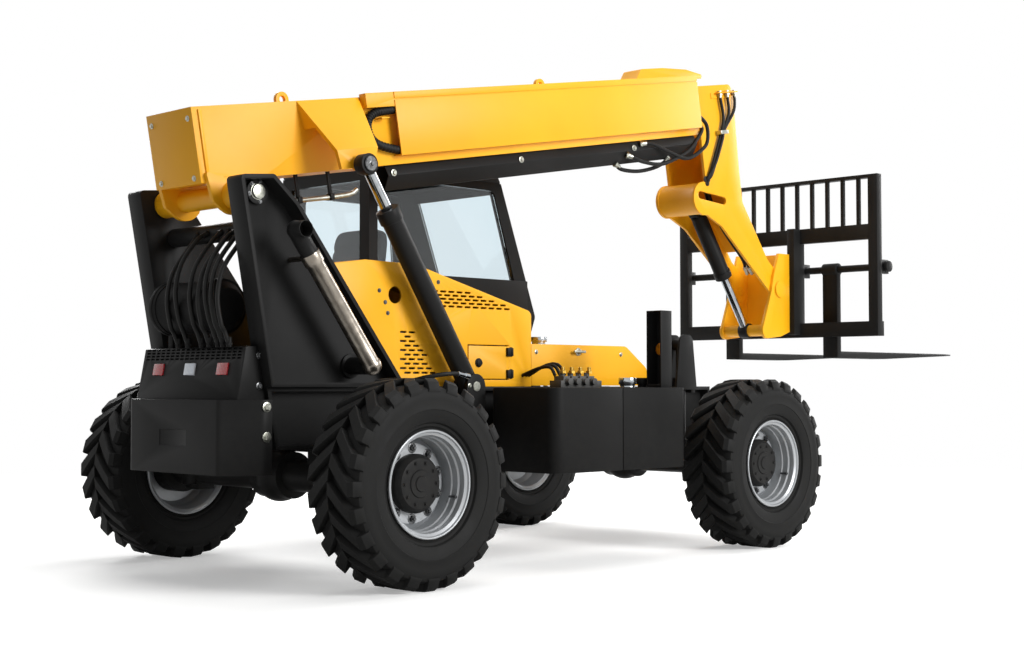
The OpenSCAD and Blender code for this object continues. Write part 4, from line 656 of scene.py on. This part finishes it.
# Lines on the boom: the corrugated loop behind the cover, the loops below its front end, and a steel pipe
boomLines = {
    "ribbed": [(1150, -236, 378), (1075, -236, 374), (1010, -236, 366), (962, -236, 340), (943, -236, 292),
               (955, -236, 236), (996, -236, 196), (1074, -236, 168), (1150, -236, 152)],
    "ribRadii": [25, 25, 21, 21], "ribSteps": 14, "ribSides": 20,
    "loops": [[(3893, -236, 150), (3940, -232, 110), (3880, -226, 45), (3750, -222, -36), (3488, -220, -95),
               (3292, -218, -68), (3180, -212, -25), (3150, -198, -10)],
              [(3893, -240, 215), (3985, -238, 140), (3990, -234, 40), (3932, -230, -23), (3750, -228, -78),
               (3572, -224, -25), (3401, -218, 45), (3330, -212, 52), (3300, -198, 52)],
              [(3080, -150, -58), (3140, -152, -100), (3300, -156, -124), (3480, -156, -112),
               (3600, -152, -80), (3630, -150, -58)]],
    "loopRadius": 13, "fittedEnds": [(0, -1), (1, -1), (2, 0), (2, -1)],
    "hoseEnd": {"ferrule": [(17, -4), (17, 26), (15, 28), (15, 44), (13, 46)],
                "nut": [(22, -2), (22, 10), (19, 12)]},
    "pipe": [(388, -150, -50), (480, -150, -63), (800, -150, -63), (880, -150, -40)],
    "pipeRadius": 13, "pipeSides": 16, "clamps": (470, 690),
    "clampParts": [((-14, -172, -82), (14, -128, -44), 4), ((-10, -158, -46), (10, -142, 82), 2)],
    "trayBolts": [(1120, -203, 30), (2156, -203, 30), (3230, -203, 30)], "trayBoltRadius": 13,
    "rearBolts": [(-165, -150, 105), (-165, 150, 105), (-165, -165, 405), (-165, 165, 405)],
    "rearBoltRadius": 10,
    "clip": [((1028, -266, 330), (1086, -206, 338)), ((1028, -214, 330), (1086, -206, 398))],
    "rearRibs": [((-130, -214, 96), (-112, -202, 446)), ((-130, 202, 96), (-112, 214, 446))]}


def makeBoomLines(look):
    work = bmesh.new()
    ribbed = smoothPath([onBoom(*p) for p in look["ribbed"]], look["ribSteps"])
    addTube(work, ribbed, look["ribRadii"], look["ribSides"])
    for loop in look["loops"]:
        addLine(work, loop, onBoom, look["loopRadius"])
    newPiece("boomHoses", smoothMesh(work, hoseSharp), [hose], "boom")
    work = bmesh.new()
    addLine(work, look["pipe"], onBoom, look["pipeRadius"], look["pipeSides"])
    for k, end in look["fittedEnds"]:
        loop = look["loops"][k]
        tip = onBoom(*loop[end])
        before = onBoom(*loop[1 if end == 0 else -2])
        addHoseEnd(work, tip, before - tip, look["hoseEnd"])
    for spot in look["trayBolts"]:
        addBolt(work, onBoom(*spot), rightward, look["trayBoltRadius"])
    for spot in look["rearBolts"]:
        addBolt(work, onBoom(*spot), boomRearward, look["rearBoltRadius"])
    newPiece("boomFittings", smoothMesh(work), [zinc], "boom")
    work = bmesh.new()
    for s in look["clamps"]:
        for low, high, roundMm in look["clampParts"]:
            addBlock(work, (s + low[0], *low[1:]), (s + high[0], *high[1:]), onBoom, roundMm)
    newPiece("pipeClamps", smoothMesh(work), [blackPaint], "boom")
    work = bmesh.new()
    for low, high in look["clip"] + look["rearRibs"]:
        addBlock(work, low, high, onBoom)
    newPiece("hoseClip", smoothMesh(work), [yellowPaint], "boom")


makeBoomLines(boomLines)

# Lines on the goose neck: hoses from a bracket at its top down its side, and two more inside its arm
neckLines = {
    "hoses": [[(4240, -192, 330), (4252, -193, 186), (4214, -193, 84), (4180, -193, 30), (4084, -192, -120),
               (4022, -188, -212), (4000, -168, -236)],
              [(4410, -194, 334), (4380, -195, 221), (4248, -198, 100), (4206, -199, 40), (4108, -198, -112),
               (4044, -190, -212), (4026, -168, -238)],
              [(4325, -193, 332), (4318, -194, 205), (4231, -195, 92), (4193, -211, 36), (4096, -208, -116),
               (4040, -196, -190), (4012, -168, -262)]],
    "armHoses": [[(4190, -30, -300), (4235, -32, -430), (4355, -30, -624), (4540, -28, -846),
                  (4584, -36, -930)],
                 [(4196, 4, -296), (4243, 2, -425), (4365, 2, -618), (4550, 4, -840), (4598, 12, -930)]],
    "radius": 11, "plateFace": -170, "grommet": [(22, -1), (22, 4), (17, 7)], "bracketTop": 352,
    "hoseEnd": {"ferrule": [(15, -14), (15, 8), (13, 10), (13, 34), (11, 36)],
                "nut": [(20, 8), (20, 18), (17, 20)]},
    "coupling": [(12, -44), (16, -40), (16, -6), (18, -4), (18, 20), (13, 24)],
    "clip": ((4170, -222, 62), (4258, -170, 90)), "clipRound": 4,
    "bracket": [((4160, -176, 316), (4430, -169, 356)), ((4200, -214, 348), (4430, -169, 356))]}


def makeNeckLines(look):
    work = bmesh.new()
    for line in look["hoses"] + look["armHoses"]:
        addLine(work, line, onBoom, look["radius"])
    for line in look["hoses"]:
        s, _, n = line[-1]
        addTurned(work, onBoom(s, look["plateFace"], n), rightward, look["grommet"])
    newPiece("neckHoses", smoothMesh(work, hoseSharp), [hose], "boom_inner")
    work = bmesh.new()
    for line in look["hoses"]:
        s, y, _ = line[0]
        addHoseEnd(work, onBoom(s, y, look["bracketTop"]), -boomUp, look["hoseEnd"])
    for line in look["armHoses"]:
        tip = onBoom(*line[-1])
        addTurned(work, tip, onBoom(*line[-2]) - tip, look["coupling"])
    addBlock(work, *look["clip"], onBoom, look["clipRound"])
    newPiece("neckFittings", smoothMesh(work), [zinc], "boom_inner")
    work = bmesh.new()
    for low, high in look["bracket"]:
        addBlock(work, low, high, onBoom)
    newPiece("neckBracket", smoothMesh(work), [yellowPaint], "boom_inner")


makeNeckLines(neckLines)

# Hoses that hang in bows behind the air cleaner, from the tower tube to the tail panel
towerHoses = {
    "sides": [-350, -300, -255, -180, -112, 10, 100],
    "bow": [(-466, 1782), (-528, 1744), (-628, 1612), (-658, 1470), (-642, 1340), (-604, 1256), (-582, 1192)],
    "slack": range(1, 5), "spread": 9, "sway": 6, "radius": 12,
    "hoseEnd": {"ferrule": [(15, -8), (15, 20), (14, 22), (14, 40), (12.5, 42)],
                "nut": [(19, 2), (19, 12), (16, 14)]}}


def makeTowerHoses(look):
    work = bmesh.new()
    ends = bmesh.new()
    for k, y in enumerate(look["sides"]):
        sag = look["spread"] * (k % 3 - 2)
        line = []
        for i, (x, z) in enumerate(look["bow"]):
            loose = sag if i in look["slack"] else 0
            line.append((x - loose / 2, y + look["sway"] * (i % 2), z + 2 * loose))
        addLine(work, line, at, look["radius"])
        addHoseEnd(ends, at(*line[0]), at(*line[1]) - at(*line[0]), look["hoseEnd"])
        addHoseEnd(ends, at(*line[-1]), upward, look["hoseEnd"])
    newPiece("towerHoses", smoothMesh(work, hoseSharp), [hose], "chassis")
    newPiece("towerHoseEnds", smoothMesh(ends), [blackPaint], "chassis")


makeTowerHoses(towerHoses)

# Bolts and screws with a real head: places as (x, z) in mm on a side face
fixings = {
    "tail": {"y": -455, "radius": 13, "metal": darkSteel, "spots": [(-474, 1142), (-474, 990)]},
    "weight": {"y": -530, "radius": 17, "metal": zinc, "spots": [(-482, 886), (-482, 738)]},
    "pin": {"y": -440, "radius": 7, "metal": darkSteel,
            "spots": [(-517, 1996), (-466, 2010), (-466, 1910), (-530, 1946)]},
    "hood": {"y": -388, "radius": 8, "metal": darkSteel,
             "spots": [(786, 1569), (357, 1504), (399, 1442), (417, 1384)]}}
doorKnob = {"place": (1098, -388, 1122), "profile": [(26, -1), (26, 5), (20, 8), (20, 14), (12, 17)]}


def makeFixings(groups, knob):
    for name, group in groups.items():
        work = bmesh.new()
        for x, z in group["spots"]:
            addBolt(work, at(x, group["y"], z), rightward, group["radius"])
        newPiece(name + "Bolts", smoothMesh(work), [group["metal"]], "chassis")
    work = bmesh.new()
    addTurned(work, at(*knob["place"]), rightward, knob["profile"])
    newPiece("doorKnob", smoothMesh(work), [blackPaint], "service_door")


makeFixings(fixings, doorKnob)

# The lift cylinder's pressure line, which runs in a curve to the foot that the barrel swings on
liftLine = {
    "path": [(560, -440, 1020), (590, -500, 1036), (680, -560, 1054), (770, -566, 1056), (830, -560, 1046)],
    "radius": 12, "fitting": [(18, -30), (18, 6), (15, 8), (15, 60), (13, 62)], "fittingSides": 20}


def makeLiftLine(look):
    work = bmesh.new()
    line = [at(*p) for p in look["path"]]
    addLine(work, look["path"], at, look["radius"])
    addTurned(work, line[-1], line[-2] - line[-1], look["fitting"], look["fittingSides"], 1)
    piece = newPiece("liftHose", smoothMesh(work, hoseSharp), [hose, chrome], None)
    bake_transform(piece)


makeLiftLine(liftLine)

# Pins through the cylinder eyes, with the heads that show; each rides on its rod or foot
eyePins = {
    "liftFrom": 462, "liftPin": [(28, 0), (28, 74), (40, 74), (40, 82), (36, 85)], "liftCap": 547,
    "liftBoltRadius": 11, "foot": (920, 987), "keeper": (868, 991), "clevisFace": 557,
    "footPin": [(27, -4), (27, 5), (24, 8)], "keeperRadius": 9,
    "tiltReach": 172, "tiltRadius": 27, "eyeHalf": 38, "collarRadius": 42, "collarSides": 32}


def makeEyePins(look):
    work = bmesh.new()
    feet = bmesh.new()
    tilt = bmesh.new()
    s, n = rodEyes["lift"]
    x, z = look["foot"]
    keeperX, keeperZ = look["keeper"]
    tiltX, tiltZ = rodEyes["tilt"]
    reach = look["tiltReach"]
    shank = [(look["tiltRadius"], 0), (look["tiltRadius"], 2 * reach)]
    collar = [(look["collarRadius"], 0), (look["collarRadius"], reach - look["eyeHalf"])]
    addTurned(tilt, at(tiltX, reach, tiltZ), rightward, shank)
    for side in (-1, 1):
        outward = Vector((0, side, 0))
        addTurned(work, onBoom(s, side * look["liftFrom"], n), outward, look["liftPin"])
        addBolt(work, onBoom(s, side * look["liftCap"], n), outward, look["liftBoltRadius"])
        addTurned(feet, at(x, side * look["clevisFace"], z), outward, look["footPin"])
        addBolt(feet, at(keeperX, side * look["clevisFace"], keeperZ), outward, look["keeperRadius"])
        addTurned(tilt, at(tiltX, side * look["eyeHalf"], tiltZ), outward, collar, look["collarSides"], 1)
    newPiece("liftEyePins", smoothMesh(work), [darkSteel], "lift_rods")
    newPiece("liftFootPins", smoothMesh(feet), [zinc], "chassis")
    newPiece("tiltEyePin", smoothMesh(tilt), [zinc, yellowPaint], "tilt_rod")


makeEyePins(eyePins)

# Small things on the body: the panel below the cab's right window, and the front lid's latch and screws
cabSidePanel = {"block": ((1200, 292, 1480), (2200, 299.6, 1672)), "round": 3}
lidLatch = {"place": (1942, -388, 1197), "spindle": [(24, -2), (24, 4), (12, 6), (12, 24), (9, 26)],
            "lever": ((1880, -420, 1189), (1982, -406, 1205)), "leverRound": 4,
            "screws": [(1575, -388, 1191), (2340, -388, 1186)], "screwRadius": 9}


def makePanelAndLatch(panel, latch):
    work = bmesh.new()
    addBlock(work, *panel["block"], at, panel["round"])
    newPiece("cabSidePanel", smoothMesh(work), [blackPaint], "chassis")
    work = bmesh.new()
    addTurned(work, at(*latch["place"]), rightward, latch["spindle"])
    addBlock(work, *latch["lever"], at, latch["leverRound"])
    for spot in latch["screws"]:
        addBolt(work, at(*spot), rightward, latch["screwRadius"])
    newPiece("lidLatch", smoothMesh(work), [zinc], "front_lid")


makePanelAndLatch(cabSidePanel, lidLatch)

# The valve bank's ports, and its hoses into the hood
bankLines = {
    "hoses": [[(1470, -640, 1050), (1470, -600, 1096), (1470, -510, 1092), (1458, -384, 1050)],
              [(1514, -640, 1050), (1506, -600, 1104), (1500, -510, 1100), (1488, -384, 1050)],
              [(1553, -640, 1050), (1537, -600, 1112), (1525, -510, 1108), (1513, -384, 1050)]],
    "radius": 10, "ports": [(1490, -682, 1062), (1565, -682, 1062), (1640, -682, 1062), (1715, -682, 1062)],
    "nut": [(20, 0), (20, 14), (17, 17)], "stub": [(11, 14), (11, 34), (8, 37)], "stubSides": 16}


def makeBankLines(look):
    work = bmesh.new()
    ports = bmesh.new()
    for line in look["hoses"]:
        addLine(work, line, at, look["radius"])
    for spot in look["ports"]:
        addTurned(ports, at(*spot), upward, look["nut"], 6)
        addTurned(ports, at(*spot), upward, look["stub"], look["stubSides"])
    newPiece("bankHoses", smoothMesh(work, hoseSharp), [hose], "chassis")
    newPiece("bankPorts", smoothMesh(ports), [brass], "chassis")


makeBankLines(bankLines)

# In and on the cab: a console with its stick, and the door's handle as (outward, up) in mm from its foot
cabConsole = {"block": ((1240, 395, 1190), (1600, 478, 1500)), "round": 14,
              "stick": [(1530, 436, 1495), (1536, 436, 1540), (1548, 436, 1580)], "stickRadius": 9,
              "grip": [(12, -8), (22, 10), (24, 44), (18, 72), (8, 80)]}
doorHandle = {"fromEdge": 70, "face": 1150, "foot": 1330, "radius": 9,
              "bar": [(-4, 0), (36, 6), (40, 70), (40, 130), (36, 194), (-4, 200)]}


def makeCabBits(console, handle):
    work = bmesh.new()
    addBlock(work, *console["block"], at, console["round"])
    addLine(work, console["stick"], at, console["stickRadius"])
    tip = at(*console["stick"][-1])
    addTurned(work, tip, tip - at(*console["stick"][-2]), console["grip"])
    newPiece("cabConsole", smoothMesh(work, hoseSharp), [cabTrim], "chassis")
    work = bmesh.new()
    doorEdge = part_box("cab_door")[1].x
    corner = Vector((doorEdge / mm - handle["fromEdge"], handle["face"], handle["foot"]))
    bar = [(corner + Vector((0, out, up))) * mm for out, up in handle["bar"]]
    addTube(work, smoothPath(bar), [handle["radius"]])
    newPiece("doorHandle", smoothMesh(work, hoseSharp), [blackPaint], "cab_door")


makeCabBits(cabConsole, doorHandle)
print("hoses and fittings made")

# Seat: a moulded box, and a cushion and a back that are padded and sewn in channels
seatLook = {
    "box": ((1190, 530, 1165), (1530, 920, 1334)), "boxRound": 18,
    "cushion": {"centre": (1380, 725, 1385), "lean": 4, "size": (460, 470, 112), "power": 7, "crown": 0.2,
                "seams": (-0.36, 0.36)},
    "back": {"centre": (1118, 725, 1690), "lean": 82, "size": (540, 446, 100), "power": 7, "crown": 0.22,
             "seams": (-0.4, 0.1, 0.55)},
    "seamDepth": 14, "seamWidth": 0.035, "seamFrom": 0.3, "cuts": 26, "sharpDeg": 70}


def padMesh(look, pad):
    work = bmesh.new()
    bmesh.ops.create_cube(work, size=2.0)
    bmesh.ops.subdivide_edges(work, edges=work.edges, cuts=look["cuts"], use_grid_fill=True)
    half = [side / 2 for side in pad["size"]]
    for vert in work.verts:
        p = vert.co
        p /= sum(abs(c) ** pad["power"] for c in p) ** (1 / pad["power"])
        swell = 1 - pad["crown"] * (p.x ** 4 + p.y ** 4) / 2
        groove = max(math.exp(-((p.x - place) / look["seamWidth"]) ** 2) for place in pad["seams"])
        sunk = look["seamDepth"] * groove if p.z > look["seamFrom"] else 0
        vert.co = Vector((p.x * half[0], p.y * half[1], p.z * half[2] * swell - sunk)) * mm
    return smoothMesh(work, look["sharpDeg"])


def makeSeat(look):
    work = bmesh.new()
    addBlock(work, *look["box"], at, look["boxRound"])
    base = newPiece("seatBox", smoothMesh(work), [cabTrim], "chassis")
    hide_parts("seat")
    for name in ("cushion", "back"):
        part = look[name]
        pad = newPiece("seat." + name, padMesh(look, part), [cloth], "chassis")
        lean = Matrix.Rotation(math.radians(-part["lean"]), 4, "Y")
        pad.matrix_world = Matrix.Translation(at(*part["centre"])) @ lean
        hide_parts("seat")


makeSeat(seatLook)
print("seat made")

# Studio: a pale floor that fades into a white surround, and soft lamps
studio = {"floorSize": 40.0, "floor": "#E9E9E8", "fade": (4.5, 9.5), "lift": 0.34, "surround": 0.24,
          "aim": (0, 0, 1.2), "white": (1, 1, 1, 1),
          "lamps": [{"name": "rightSoftbox", "place": (1.5, -13.0, 6.0), "size": 6.0, "power": 1950},
                    {"name": "topSoftbox", "place": (0.5, 0.5, 11.0), "size": 8.0, "power": 560},
                    {"name": "leftSoftbox", "place": (2.0, 12.0, 6.0), "size": 6.0, "power": 1250},
                    {"name": "frontSoftbox", "place": (12.0, 0.0, 5.0), "size": 5.0, "power": 850}]}


def makeFloor(look):
    work = bmesh.new()
    bmesh.ops.create_grid(work, x_segments=4, y_segments=4, size=look["floorSize"] / 2)
    mesh = bpy.data.meshes.new("floor")
    work.to_mesh(mesh)
    work.free()
    floor = bpy.data.objects.new("floor", mesh)
    scene.collection.objects.link(floor)
    settings = {"Base Color": toLinear(look["floor"]), "Roughness": 0.9, "Specular IOR Level": 0.1,
                "Emission Color": look["white"]}
    material, tree, shader = newMaterial("paleFloor", settings)
    place = addNode(tree, "ShaderNodeTexCoord").outputs["Object"]
    distance = addNode(tree, "ShaderNodeVectorMath", {"operation": "LENGTH"}, {0: place})
    share = addNode(tree, "ShaderNodeMapRange", {"From Min": look["fade"][0], "From Max": look["fade"][1],
                                                 "interpolation_type": "SMOOTHSTEP"},
                    {"Value": distance.outputs["Value"]})
    clear = addNode(tree, "ShaderNodeBsdfTransparent")
    path = addNode(tree, "ShaderNodeLightPath")
    lift = addNode(tree, "ShaderNodeMapRange", {"To Max": look["lift"]},
                   {"Value": path.outputs["Is Camera Ray"]})
    tree.links.new(lift.outputs["Result"], shader.inputs["Emission Strength"])
    mix = addNode(tree, "ShaderNodeMixShader", {}, {0: share.outputs["Result"], 1: shader.outputs["BSDF"],
                                                    2: clear.outputs["BSDF"]})
    tree.links.new(mix.outputs["Shader"], tree.nodes["Material Output"].inputs["Surface"])
    mesh.materials.append(material)


def makeLights(look):
    for lamp in look["lamps"]:
        data = bpy.data.lights.new(lamp["name"], "AREA")
        data.size = lamp["size"]
        data.energy = lamp["power"]
        light = bpy.data.objects.new(lamp["name"], data)
        light.location = lamp["place"]
        light.rotation_mode = "QUATERNION"
        light.rotation_quaternion = (Vector(look["aim"]) - light.location).to_track_quat("-Z", "Y")
        scene.collection.objects.link(light)
    world = bpy.data.worlds.new("surround")
    scene.world = world
    world.use_nodes = True
    tree = world.node_tree
    path = addNode(tree, "ShaderNodeLightPath")
    seen = addNode(tree, "ShaderNodeMath", {"operation": "MAXIMUM"},
                   {0: path.outputs["Is Camera Ray"], 1: path.outputs["Is Transmission Ray"]})
    mirrored = addNode(tree, "ShaderNodeMath", {"operation": "MAXIMUM"},
                       {0: seen.outputs["Value"], 1: path.outputs["Is Glossy Ray"]})
    strength = addNode(tree, "ShaderNodeMapRange", {"To Min": look["surround"], "To Max": 1.0},
                       {"Value": mirrored.outputs["Value"]})
    tree.links.new(strength.outputs["Result"], tree.nodes["Background"].inputs["Strength"])
    tree.nodes["Background"].inputs["Color"].default_value = look["white"]


makeFloor(studio)
makeLights(studio)
print("studio lit")
